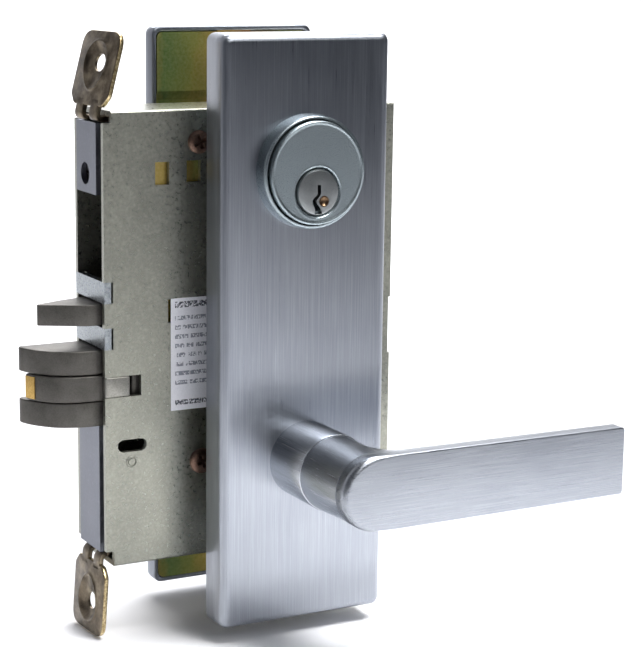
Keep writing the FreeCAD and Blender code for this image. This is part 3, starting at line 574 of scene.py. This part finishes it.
def fill_sides(ring, corner_points=9, short_side=24, long_side=90):
    """Rounded-rectangle ring with points added evenly along its straight sides, short and long in turn."""
    corners = ring.reshape(4, corner_points, 3)
    parts = []
    for i in range(4):
        start, end = corners[i, -1], corners[(i + 1) % 4, 0]
        count = long_side if i % 2 else short_side
        parts += [corners[i], np.linspace(start, end, count + 2)[1:-1]]
    return np.concatenate(parts)


def inside_escutcheon():
    """Pan that faces the inside. Its last rings draw in to the round hole of the inside lever."""
    rim, face = INNER_LOW[1], INNER_LOW[1] + INNER_PAN_DEPTH
    rings = [fill_sides(ring) for ring in pan_rings(INNER_LOW, INNER_HIGH, rim, face)]
    rings.append(toward_circle(rings[-1], LEVER_HOLE + 0.3, face))
    rings.append(toward_circle(rings[-1], LEVER_HOLE, face - 0.3))
    rings.append(toward_circle(rings[-1], LEVER_HOLE, face - 1.6))
    obj = loft("escutcheon_inside", rings, "lock_case", CHROME_PLATE, closed_rows=True,
               sharp=50, uv=(0, 2))
    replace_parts(obj, "inside_escutcheon")


# ------------------------------------------------------------------ front tabs
# Each place is: x and z of the leaf's middle, its turn and lean in degrees, +1 up or -1 down, and the foot's
# lowest and highest z.
TAB_UPPER = (-60.5, 133.3, 8.2, 15.4, 1, (114.0, 115.7))
TAB_LOWER = (-65.5, -51.6, 2.6, 4.2, -1, (-34.2, -32.7))
TAB_THICK = 1.8
TAB_PIN_X = -55.5
LEAF_CORNERS = ((-12.0, -11.2), (-9.0, -14.6), (9.0, -14.6), (12.0, -11.2), (12.0, 10.4), (-12.0, 10.4))
LEAF_RADII = (1.2, 1.0, 1.0, 1.2, 5.2, 5.2)
LEAF_POINTS = 160
# Radius and depth of the countersink from its brink to its far lip.
COUNTERSINK = ((5.2, 0.75), (4.2, 1.15), (3.3, 1.35), (3.0, 1.5), (3.0, 2.3), (3.4, 2.5))
# How far outside the dish's edge each ring of its raised brim lies, and at what depth.
BRIM = ((0.6, -0.2), (0.2, -0.5), (-0.25, -0.4), (-0.9, 0.25))
LEGS = (("near", -7.0, -2.2), ("far", 2.2, 7.0))
LEG_TOP = -12.6
LEG_BEND = 2.6
FOOT_HALF = 7.0


def stand_tab(points, place):
    """Points of a flat tab leaned, turned and moved to place. Before that x runs through its thickness, y
    across it and z up."""
    x, z, turn, lean, side = place[:5]
    p = np.asarray(points, float)
    t, l = math.radians(turn), math.radians(lean)
    px, py, pz = p[..., 0], p[..., 1], p[..., 2] * side
    px, pz = px * math.cos(l) + pz * math.sin(l), -px * math.sin(l) + pz * math.cos(l)
    px, py = px * math.cos(t) - py * math.sin(t), px * math.sin(t) + py * math.cos(t)
    return np.stack([px + x, py, pz + z], -1)


def tab_leaf(name, place, body):
    """Leaf with a dished countersink. Rings step from the outline in to the hole and back behind it. The
    dish is a circle drawn out to a point at its lower end by a power of how far down the ray points."""
    outline = dense(round_corners(LEAF_CORNERS, LEAF_RADII, 8), LEAF_POINTS)
    ray = outline / np.linalg.norm(outline, axis=1)[:, None]
    dish = 7.0 + 2.3 * np.maximum(-ray[:, 1], 0) ** 5

    def at(yz, x):
        return np.stack([np.full(len(yz), x), yz[:, 0], yz[:, 1]], 1)

    def ring(distance, x):
        return at(ray * np.reshape(distance, (-1, 1)), x)

    def edge(amount, x):
        return at(inset(outline, amount), x)

    t = TAB_THICK
    rings = [edge(0.0, t - 0.3), edge(0.0, 0.35), edge(0.12, 0.1), edge(0.4, 0.0), ring(dish + 1.1, 0.0)]
    rings += [ring(dish + out, x) for out, x in BRIM]
    rings += [ring(np.full(LEAF_POINTS, r), x) for r, x in COUNTERSINK]
    rings += [ring(dish - 0.3, t + 0.2), ring(dish + 0.8, t), edge(0.3, t)]
    rings = [stand_tab(r, place) for r in rings]
    leaf = loft(name, rings, body, TAB_STEEL, closed_rows=True, sharp=50)
    raw = np.zeros((len(rings), LEAF_POINTS), np.float32)
    raw[:2] = 1.0
    raw[-1] = 1.0
    layer = leaf.data.attributes.new("raw_edge", "FLOAT", "POINT")
    layer.data.foreach_set("value", raw.ravel())
    return leaf


def tab_leg(name, place, body, low, high):
    """Leg of rounded rectangular section, carried straight down from the leaf, round a quadratic curve and
    level into the foot."""
    x, z, turn, lean, side, foot = place
    l = math.radians(lean)
    mid = TAB_THICK / 2
    level = (foot[0] + foot[1]) / 2 - z

    def down(v):
        along_x = mid * math.cos(l) + side * v * math.sin(l)
        return np.array([along_x, -mid * math.sin(l) + side * v * math.cos(l)])

    v = (level + mid * math.sin(l)) / (side * math.cos(l))
    corner = down(v)
    t = np.linspace(0, 1, 9)[:, None]
    start, end = down(v + LEG_BEND), corner + [LEG_BEND, 0]
    arc = (1 - t) ** 2 * start + 2 * t * (1 - t) * corner + t ** 2 * end
    path = np.concatenate([[down(LEG_TOP)], arc, [corner + [6.0, 0]]])
    along = np.gradient(path, axis=0)
    along /= np.linalg.norm(along, axis=1)[:, None]
    across = np.stack([along[:, 1], -along[:, 0]], 1)
    section = round_rect(-mid, mid, low, high, 0.35, 3)
    xz = path[:, None] + across[:, None] * section[None, :, :1]
    y = np.broadcast_to(section[None, :, 1], xz.shape[:2])
    turned_by = math.radians(turn)
    px = xz[..., 0] * math.cos(turned_by) - y * math.sin(turned_by) + x
    py = xz[..., 0] * math.sin(turned_by) + y * math.cos(turned_by)
    return loft(name, np.stack([px, py, xz[..., 1] + z], -1), body, TAB_STEEL, sharp=50)


def foot_start(place):
    """x where the foot begins, just behind the legs' bend."""
    return place[0] + place[4] * -18.4 * math.sin(math.radians(place[3])) + 3.0


def tabs():
    """Both front tabs: a leaf, two legs and a flat foot that runs back to the pin."""
    for node, place in (("tab_top", TAB_UPPER), ("tab_bottom", TAB_LOWER)):
        foot_low, foot_high = place[5]
        parts = [tab_leaf(node + "_leaf", place, node)]
        parts += [tab_leg(node + "_leg_" + k, place, node, a, b) for k, a, b in LEGS]
        plate = round_rect(foot_start(place), TAB_PIN_X + 4.5, -FOOT_HALF, FOOT_HALF, 0.6, 3)
        parts.append(prism(node + "_foot", plate, foot_low, foot_high, 0.25, plan_ring, node, TAB_STEEL,
                           "tab_steel"))
        for part in parts:
            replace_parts(part, node)


# ------------------------------------------------------------------ screws and rivet
# x, z and head radius of each cover screw.
SCREWS = ((-29.5, 106.9, 3.9), (-28.4, -2.8, 4.4), (38.0, 109.0, 3.9), (38.0, -28.5, 3.9))
SCREW_RISE = 1.7
SCREW_EDGE = 0.7
SCREW_TURN = 0.4
RECESS_DEPTH = 1.3


def cross_recess(x, z):
    """1 inside a cross with arms 0.9 mm wide and 2 mm long, falling to 0 over its tapered walls."""
    ax, az = np.abs(x), np.abs(z)
    arm = np.minimum(np.maximum(ax - 0.45, (az - 2.0) * 0.8), np.maximum(az - 0.45, (ax - 2.0) * 0.8))
    return 1 - smoothstep(-0.05, 0.25, arm)


def screws():
    """Pan heads: rings out from the centre over a dome, with the cross recess pressed down into it. The
    dome falls off as the root of one less a power of the radius."""
    count = 120
    a = np.linspace(0, TAU, count, endpoint=False) + SCREW_TURN
    for i, (x, z, r) in enumerate(SCREWS):
        face = COVER_LOW[1]
        rings = [circle_ring(r, face, x, z, count), circle_ring(r, face - SCREW_EDGE, x, z, count)]
        for share in np.concatenate([np.linspace(0.995, 0.85, 6), np.linspace(0.78, 0.04, 22)]):
            px, pz = r * share * np.cos(a), r * share * np.sin(a)
            rise = SCREW_EDGE + (SCREW_RISE - SCREW_EDGE) * (1 - share ** 2.6) ** 0.5
            turned_x, turned_z = r * share * np.cos(a - SCREW_TURN), r * share * np.sin(a - SCREW_TURN)
            y = face - rise + RECESS_DEPTH * cross_recess(turned_x, turned_z)
            rings.append(np.stack([x + px, y, z + pz], 1))
        obj = loft("pan_screw_%d" % i, rings, "lock_case", COPPER, sharp=40)
        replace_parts(obj, "cover_screws")


def rivet():
    """Flat rivet head, turned, with a shallow ring groove, flush with the case's near wall."""
    low, high = span("case_rivet")
    x, z, r = (low[0] + high[0]) / 2, (low[2] + high[2]) / 2, (high[0] - low[0]) / 2
    face = low[1]
    rings = turned([(r, face + 0.8), (r, face), (r - 0.1, face - 0.12), (r - 0.45, face - 0.12),
                    (r - 0.6, face + 0.3), (r - 0.85, face + 0.3), (r - 0.95, face - 0.05),
                    (0.3 * r, face - 0.05)], x=x, z=z, count=48)
    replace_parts(loft("case_rivet_head", rings, "lock_case", ZINC_CASE), "case_rivet")


# ------------------------------------------------------------------ lever
SHANK_BACK = COLLAR_LOW[1] - 0.3
SHANK_R = 12.9
SHANK_TAPER = 0.75
SHANK_COUNT = 144
FLARE = 14.0
JOURNAL_R = 9.5
JOURNAL_BACK = -31.0
BLADE_FRONT = LEVER_LOW[1]
BLADE_THICK = 6.2
BLADE_TIP = LEVER_HIGH[0]
BLADE_HUB = 12.4
BLADE_END = 11.8
TIP_CORNER = 1.2
BACK_EDGE = 0.6
COLLAR_R = 13.15
COLLAR_BORE = 9.56


def blade_outline():
    """Blade seen from the front: a round hub end, straight sides drawing in slightly, a square tip."""
    a = np.linspace(math.pi / 2, 3 * math.pi / 2, 49)
    hub = np.stack([BLADE_HUB * np.cos(a), BLADE_HUB * np.sin(a)], 1)
    x = np.linspace(0, BLADE_TIP - TIP_CORNER, 60)[1:]
    side = BLADE_HUB + (BLADE_END - BLADE_HUB) * x / BLADE_TIP
    c = np.linspace(-math.pi / 2, 0, 7)
    corner_x = BLADE_TIP - TIP_CORNER + TIP_CORNER * np.cos(c)
    low = np.stack([corner_x, -BLADE_END + TIP_CORNER * (1 + np.sin(c))], 1)
    high = low[::-1] * [1, -1]
    return np.concatenate([hub, np.stack([x, -side], 1), low, high, np.stack([x, side], 1)[::-1]])


def blade_rings():
    """Blade carried from its back to its front, with quarter-circle edges that are largest at the hub end."""
    outline = blade_outline()
    soft = 0.5 + 1.7 * (1 - smoothstep(-8, 9, outline[:, 0]))
    back = BLADE_FRONT + BLADE_THICK
    rings = []
    for t in np.linspace(0, math.pi / 2, 5):
        edge = inset(outline, BACK_EDGE * (1 - math.sin(t)))
        rings.append(flat_ring(edge, back - BACK_EDGE * (1 - math.cos(t))))
    for t in np.linspace(math.pi / 2, 0, 8):
        edge = inset(outline, soft * (1 - math.sin(t)))
        y = BLADE_FRONT + soft * (1 - math.cos(t))
        rings.append(np.stack([edge[:, 0], y, edge[:, 1]], 1))
    return rings


def shank_rings():
    """Slightly tapered round shank whose +X side sweeps out on an arc until it meets the blade's back."""
    a = np.linspace(0, TAU, SHANK_COUNT, endpoint=False)
    back = BLADE_FRONT + BLADE_THICK
    levels = np.concatenate([np.linspace(SHANK_BACK, back + FLARE, 8, endpoint=False),
                             back + FLARE * (1 - np.sin(np.linspace(0, math.pi / 2, 22)))])
    side = smoothstep(-0.02, 0.30, np.cos(a))
    rings = [circle_ring(SHANK_R - 0.3, SHANK_BACK, count=SHANK_COUNT),
             circle_ring(SHANK_R - 0.05, SHANK_BACK - 0.1, count=SHANK_COUNT)]
    for y in levels[1:]:
        t = (SHANK_BACK - y) / (SHANK_BACK - back)
        r = SHANK_R - SHANK_TAPER * t
        d = max(y - back, 0)
        sweep = FLARE - math.sqrt(max(FLARE ** 2 - (FLARE - d) ** 2, 0)) if d < FLARE else 0.0
        rings.append(np.stack([r * np.cos(a) + sweep * side, np.full(SHANK_COUNT, y), r * np.sin(a)], 1))
    rings.append(rings[-1] * [0.97, 1, 0.97] + [0, -1.0, 0])
    return rings


def lever():
    """Blade, shank, and the turned journal that runs inside the collar."""
    blade = loft("lever_blade", blade_rings(), "lever", CHROME_LEVER, sharp=60, uv=(2, 0))
    shank = loft("lever_shank", shank_rings(), "lever", CHROME_ROUND, sharp=60)
    tail = turned([(JOURNAL_R - 0.2, SHANK_BACK + 0.05), (JOURNAL_R, SHANK_BACK + 0.25),
                   (JOURNAL_R, JOURNAL_BACK - 0.3), (JOURNAL_R - 0.3, JOURNAL_BACK)])
    journal = loft("lever_journal", tail, "lever", CHROME_ROUND)
    for part in (blade, shank, journal):
        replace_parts(part, "outside_lever")


def lever_collar():
    """Turned tube: its outer profile runs forward over a small round edge, its inner one runs back."""
    back, front, r = COLLAR_HIGH[1], COLLAR_LOW[1], COLLAR_R
    outer = [(r, back), (r, back - 0.9), (r, front + 0.35), (r - 0.12, front + 0.1), (r - 0.35, front)]
    inner = [(COLLAR_BORE + 0.14, front), (COLLAR_BORE, front + 0.2), (COLLAR_BORE, back)]
    obj = loft("lever_collar_tube", turned(outer + inner), "lock_case", CHROME_ROUND,
               closed_rows=True, sharp=40)
    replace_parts(obj, "lever_collar")


# ------------------------------------------------------------------ cylinder
RING_BORE = 17.45
HEAD_R = 17.2
BODY_R = 14.6
PLUG_BORE = 6.41
PLUG_R = 6.35
# Keyway as (x, z) from the plug's centre: a straight slot that steps aside twice on its way down.
KEYWAY = ((-0.4, 2.5), (0.9, 2.5), (0.9, -0.6), (-0.1, -1.9), (-0.7, -2.6), (-0.5, -3.8), (0.3, -4.6),
          (1.0, -5.8), (1.5, -7.2), (-1.4, -7.2), (-1.2, -5.6), (-1.6, -4.6), (-2.2, -3.6),
          (-2.2, -2.4), (-1.3, -1.4), (-0.4, -0.7))


def cylinder_ring():
    """Turned trim ring: a slightly conical outside, a narrow flat face and a bevelled bore."""
    back, front = RING_HIGH[1], RING_LOW[1]
    outer = [(19.1, back), (18.75, front + 0.9), (18.6, front + 0.35), (18.3, front + 0.06), (18.0, front)]
    inner = [(17.75, front), (17.6, front + 0.3), (RING_BORE, front + 1.2), (RING_BORE, back)]
    obj = loft("cylinder_trim_ring", turned(outer + inner, z=CYLINDER_Z), "lock_case", CHROME_CYLINDER,
               closed_rows=True, sharp=40)
    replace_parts(obj, "cylinder_collar")


def cylinder_body():
    """Head with a bright rounded rim and a face that dips to the plug's seat, over the threaded body.
    Circles about the head's centre give way to circles about the plug's."""
    face = HOUSING_LOW[1]
    rings = turned([(BODY_R, HOUSING_HIGH[1] - 0.05), (BODY_R, OUTER_LOW[1]), (17.1, OUTER_LOW[1]),
                    (HEAD_R, OUTER_LOW[1] - 0.3), (HEAD_R, face + 0.8), (17.1, face + 0.3),
                    (16.8, face + 0.04), (16.5, face), (16.2, face + 0.1), (15.9, face + 0.2),
                    (15.7, face + 0.2)], z=CYLINDER_Z)
    seat = [(9.3, face + 0.2), (9.1, face + 0.2), (8.75, face + 0.12), (8.55, face + 0.2), (8.2, face + 0.5),
            (7.9, face + 0.9), (7.83, face + 1.5), (PLUG_BORE, face + 1.5)]
    rings += [circle_ring(r, y, z=PLUG_Z) for r, y in seat]
    rings.append(circle_ring(PLUG_BORE, HOUSING_HIGH[1] - 0.05, z=PLUG_Z))
    obj = loft("cylinder_body", rings, "lock_case", CHROME_CYLINDER, closed_rows=True,
               sharp=35)
    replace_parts(obj, "cylinder_housing")


def plug():
    """Turned plug with a rounded face, cut by a turned dish and by the keyway's outline run along Y."""
    face = PLUG_LOW[1]
    rings = turned([(PLUG_R, PLUG_HIGH[1]), (PLUG_R, face + 1.65), (7.75, face + 1.6), (7.55, face + 0.45),
                    (7.35, face + 0.1), (7.0, face)], z=PLUG_Z, count=72)
    obj = loft("key_plug", rings, "plug", PLUG_FACE, sharp=35)
    slot = round_corners(np.array(KEYWAY) + [0, PLUG_Z], 0.3, 2)
    dish = turned([(2.1, face - 1), (1.8, face), (1.5, face + 0.5), (0.9, face + 0.85), (0.15, face + 0.95)],
                  x=DISH[0], z=DISH[2], count=40)
    carve(obj, [dish, [flat_ring(slot, y) for y in (face - 1, face + 27.0)]])
    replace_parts(obj, "cylinder_plug")


# ------------------------------------------------------------------ latch pieces
SINTERED_LATCH = ("latch", SINTERED, "sintered_steel")
LOWER_JAW = 8.4
UPPER_JAW = 8.2
JAW_NEAR = ((-68.0, -9.15), (-73.0, -8.1), (-78.3, -5.5), (-82.1, -1.5), (-84.6, 2.4), (-86.2, 6.6))
JAW_FAR = ((-86.2, 8.2), (-85.4, 9.0), (-52.5, 9.0), (-52.5, -9.2))
TONGUE_NEAR = ((-60.0, -9.9), (-64.0, -9.9), (-68.5, -9.6), (-73.5, -8.6), (-78.6, -6.2), (-82.3, -2.5))
TONGUE_NOSE = ((-82.3, -2.5), (-84.1, 0.7), (-85.2, 3.8))
TONGUE_REST = ((-84.9, 4.9), (-66.0, 7.5), (-59.0, 8.0), (-55.5, 6.5), (-54.0, 3.0), (-55.2, -3.0),
               (-57.5, -8.0))
STRIP_OUTER = ((-83.9, -0.4), (-84.75, 1.6), (-85.5, 3.9))
STRIP_INNER = ((-84.6, 3.9), (-84.0, 2.0), (-83.1, 0.1))
AUX_NOSE = ((-63.6, -9.2), (-68.2, -9.2), (-82.8, -1.3), (-82.6, 0.0), (-73.2, 4.0), (-63.9, 7.0))
AUX_RADII = (0.4, 0.3, 0.3, 0.3, 1.2, 0.7, 0.7, 0.6, 0.6, 0.4)


def jaw_outline():
    """Jaw in plan: a smooth bevel on the near side, square on the far side."""
    return np.concatenate([smooth_path(JAW_NEAR, 7), np.array(JAW_FAR)])


def latch():
    """Two jaws and the block behind them: outlines in plan carried up, with rounded top and bottom edges."""
    z, top = HEAD_LOW[2], HEAD_HIGH[2]
    jaws = []
    for name, low, high in (("latch_jaw_lower", z, z + LOWER_JAW), ("latch_jaw_upper", top - UPPER_JAW, top)):
        jaws.append(prism(name, dense(jaw_outline(), 150), low, high, 0.45, plan_ring, *SINTERED_LATCH))
    block = round_rect(-52.6, HEAD_HIGH[0], -9.2, 9.0, 0.6, 3)
    jaws.append(prism("latch_block", block, z, top, 0.5, plan_ring, *SINTERED_LATCH))
    for jaw in jaws:
        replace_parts(jaw, "latch_head")


def tongue():
    """Tongue in plan carried up between the jaws, and the brass strip let into its nose."""
    nose = smooth_path(TONGUE_NOSE, 5)[1:]
    outline = dense(np.concatenate([smooth_path(TONGUE_NEAR, 6), nose, TONGUE_REST]), 130)
    low, high = TONGUE_LOW[2], TONGUE_HIGH[2]
    obj = prism("tongue", outline, low, high, 0.4, plan_ring, "tongue", SINTERED, "sintered_steel")
    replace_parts(obj, "antifriction_tongue")
    edge = np.concatenate([smooth_path(STRIP_OUTER, 6), smooth_path(STRIP_INNER, 6)])
    strip = prism("tongue_strip", edge, low + 0.5, high - 0.5, 0.15, plan_ring, "tongue", BRASS, "brass")
    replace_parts(strip, "tongue_wear_strip")


def ear():
    """Block the tongue bears on, seen in the case's side slot: a rounded rectangle carried up."""
    low, high = span("tongue_fulcrum")
    outline = round_rect(low[0], high[0] - 0.8, low[1], high[1], 0.7, 4)
    obj = prism("tongue_fulcrum_block", outline, low[2], high[2], 0.5, plan_ring, "lock_case", EAR_STEEL,
                "sintered_steel")
    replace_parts(obj, "tongue_fulcrum")


def aux_latch():
    """Auxiliary latch in plan, a wedge on a square shank, carried up with rounded edges."""
    outline = [(AUX_HIGH[0], -7.4), (-61.0, -7.4), (-61.0, -9.2), *AUX_NOSE, (AUX_HIGH[0], 6.0)]
    shape = round_corners(outline, AUX_RADII, 3)
    obj = prism("aux_latch_wedge", shape, AUX_LOW[2], AUX_HIGH[2], 0.35, plan_ring, "aux_latch", SINTERED,
                "sintered_steel")
    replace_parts(obj, "aux_latch")


def spring(node, wire, turns):
    """Compression spring on an X axis: a circle swept along a helix whose end turns lie close together."""
    low, high = span(node)
    radius = (high[2] - low[2]) / 2 - wire
    y, z = (low[1] + high[1]) / 2, (low[2] + high[2]) / 2
    t = np.linspace(0, 1, 36 * turns)
    run = smoothstep(0, 1, np.clip((t - 1.2 / turns) / (1 - 2.4 / turns), 0, 1)) * 0.1
    run = run + 0.9 * np.clip((t - 0.9 / turns) / (1 - 1.8 / turns), 0, 1)
    x = low[0] + wire + 0.05 + (high[0] - low[0] - 2 * wire - 0.1) * run
    a = TAU * turns * t
    centre = np.stack([x, y + radius * np.cos(a), z + radius * np.sin(a)], 1)
    out = np.stack([0 * a, np.cos(a), np.sin(a)], 1)
    b = np.linspace(0, TAU, 12, endpoint=False)
    around = np.cos(b)[None, :, None] * out[:, None]
    rings = centre[:, None] + wire * (around + np.sin(b)[None, :, None] * [1, 0, 0])
    obj = loft(node + "_coil", rings, "lock_case", SPRING_WIRE)
    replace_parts(obj, node)
    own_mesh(obj)


# ------------------------------------------------------------------ camera, light and floor
CAMERA_TARGET = Vector((25.13, 0.0, 38.5)) * MM
CAMERA_DISTANCE = 704.29 * MM
CAMERA_YAW, CAMERA_PITCH, CAMERA_ROLL = 28.5, 11.06, 0.74
CAMERA_LENS = 109.34
FLOOR_GAP = 0.0005
BACKDROP_Y = 1.2
BACKDROP_BEND = 0.5
# The room is dark in front, towards -Y, and pale behind and above: dot products with LIGHT_FROM.
LIGHT_FROM = (-0.25, 0.90, 0.30)


def camera():
    """Camera at CAMERA_DISTANCE from its target, looking along its yaw and pitch."""
    yaw, pitch, roll = (math.radians(a) for a in (CAMERA_YAW, CAMERA_PITCH, CAMERA_ROLL))
    forward = Vector((math.sin(yaw) * math.cos(pitch), math.cos(yaw) * math.cos(pitch), -math.sin(pitch)))
    right = forward.cross(Vector((0, 0, 1))).normalized()
    up = right.cross(forward)
    right, up = (right * math.cos(roll) + up * math.sin(roll), up * math.cos(roll) - right * math.sin(roll))
    data = bpy.data.cameras.new("camera")
    data.lens = CAMERA_LENS
    data.sensor_width = 36.0
    data.clip_start = 0.01
    data.clip_end = 50.0
    obj = bpy.data.objects.new("camera", data)
    bpy.context.scene.collection.objects.link(obj)
    place = Matrix((right, up, -forward)).transposed().to_4x4()
    place.translation = CAMERA_TARGET - forward * CAMERA_DISTANCE
    obj.matrix_world = place
    bpy.context.scene.camera = obj


def area_light(name, place, aim, size, power, spread=180):
    """Square white area light at place, turned towards aim. power is in watts and spread in degrees."""
    data = bpy.data.lights.new(name, "AREA")
    data.spread = math.radians(spread)
    data.shape = "RECTANGLE"
    data.size = size
    data.size_y = size
    data.energy = power
    obj = bpy.data.objects.new(name, data)
    bpy.context.scene.collection.objects.link(obj)
    obj.location = place
    obj.rotation_euler = (Vector(aim) - Vector(place)).to_track_quat("-Z", "Y").to_euler()


def surroundings():
    """Pale sweep of floor and backdrop, four soft lights, and a room that is dim in front. The sweep is a
    level line, a quarter circle and an upright line, carried along X."""
    floor_z = cad_box[0][2] - FLOOR_GAP
    a = np.linspace(0, math.pi / 2, 13)
    bend = BACKDROP_BEND
    level = np.linspace(-3.0, BACKDROP_Y, 8)[:-1]
    y = np.concatenate([level, BACKDROP_Y + bend * np.sin(a), [BACKDROP_Y + bend] * 3])
    z = np.concatenate([np.zeros(7), bend * (1 - np.cos(a)), bend + np.array([0.5, 1.0, 1.6])]) + floor_z
    x = np.array([-1.5, 3.0])
    points = np.stack([np.repeat(x, len(y)), np.tile(y, 2), np.tile(z, 2)], 1)
    n = len(y)
    mesh = bpy.data.meshes.new("floor")
    mesh.from_pydata(points, [], [(i, n + i, n + i + 1, i + 1) for i in range(n - 1)])
    mesh.shade_smooth()
    floor = bpy.data.objects.new("floor", mesh)
    bpy.context.scene.collection.objects.link(floor)
    material, tree, coords = begin("pale_floor")
    soft = grain(tree, coords, (300, 300, 300))
    pale = add(tree, "ValToRGB", {"Fac": soft}, stops=((0.2, "eeeef1"), (0.8, "f4f4f6")))
    finish(tree, {"Base Color": pale, "Roughness": 0.85})
    mesh.materials.append(material)
    world = bpy.data.worlds.new("studio")
    bpy.context.scene.world = world
    world.use_nodes = True
    tree = world.node_tree
    tree.nodes.clear()
    direction = add(tree, "TexCoord", out="Generated")
    lean = add(tree, "VectorMath", {0: direction, 1: LIGHT_FROM}, out="Value", operation="DOT_PRODUCT")
    share = add(tree, "MapRange", {"Value": lean, "From Min": -1.0, "From Max": 1.0})
    shade = add(tree, "ValToRGB", {"Fac": share}, stops=((0.0, "262a31"), (0.5, "4a4e56"), (0.85, "c4c4c8")))
    add(tree, "OutputWorld", {"Surface": add(tree, "Background", {"Color": shade, "Strength": 1.0})})
    area_light("soft_box", (0.45, 0.85, 1.05), (0.35, 0.75, 0.0), 1.0, 26)
    area_light("pool_light", (0.13, -0.24, 0.52), (0.06, -0.16, 0.0), 0.22, 1.0, spread=75)
    area_light("front_top_light", (0.20, -1.0, 0.78), (0.0, 0.0, 0.06), 0.5, 3.2)
    area_light("backdrop_light", (0.6, 0.5, 1.3), (0.8, 1.7, 0.3), 1.0, 14)
    scene = bpy.context.scene
    scene.view_settings.view_transform = "Standard"
    scene.view_settings.look = "None"


camera()
surroundings()
dress_cad_nodes()
outside_escutcheon()
inside_escutcheon()
lever()
lever_collar()
cylinder_ring()
cylinder_body()
plug()
tabs()
screws()
latch()
tongue()
ear()
rivet()
spring("latch_spring", 0.45, 7)
spring("aux_spring", 0.35, 7)
aux_latch()
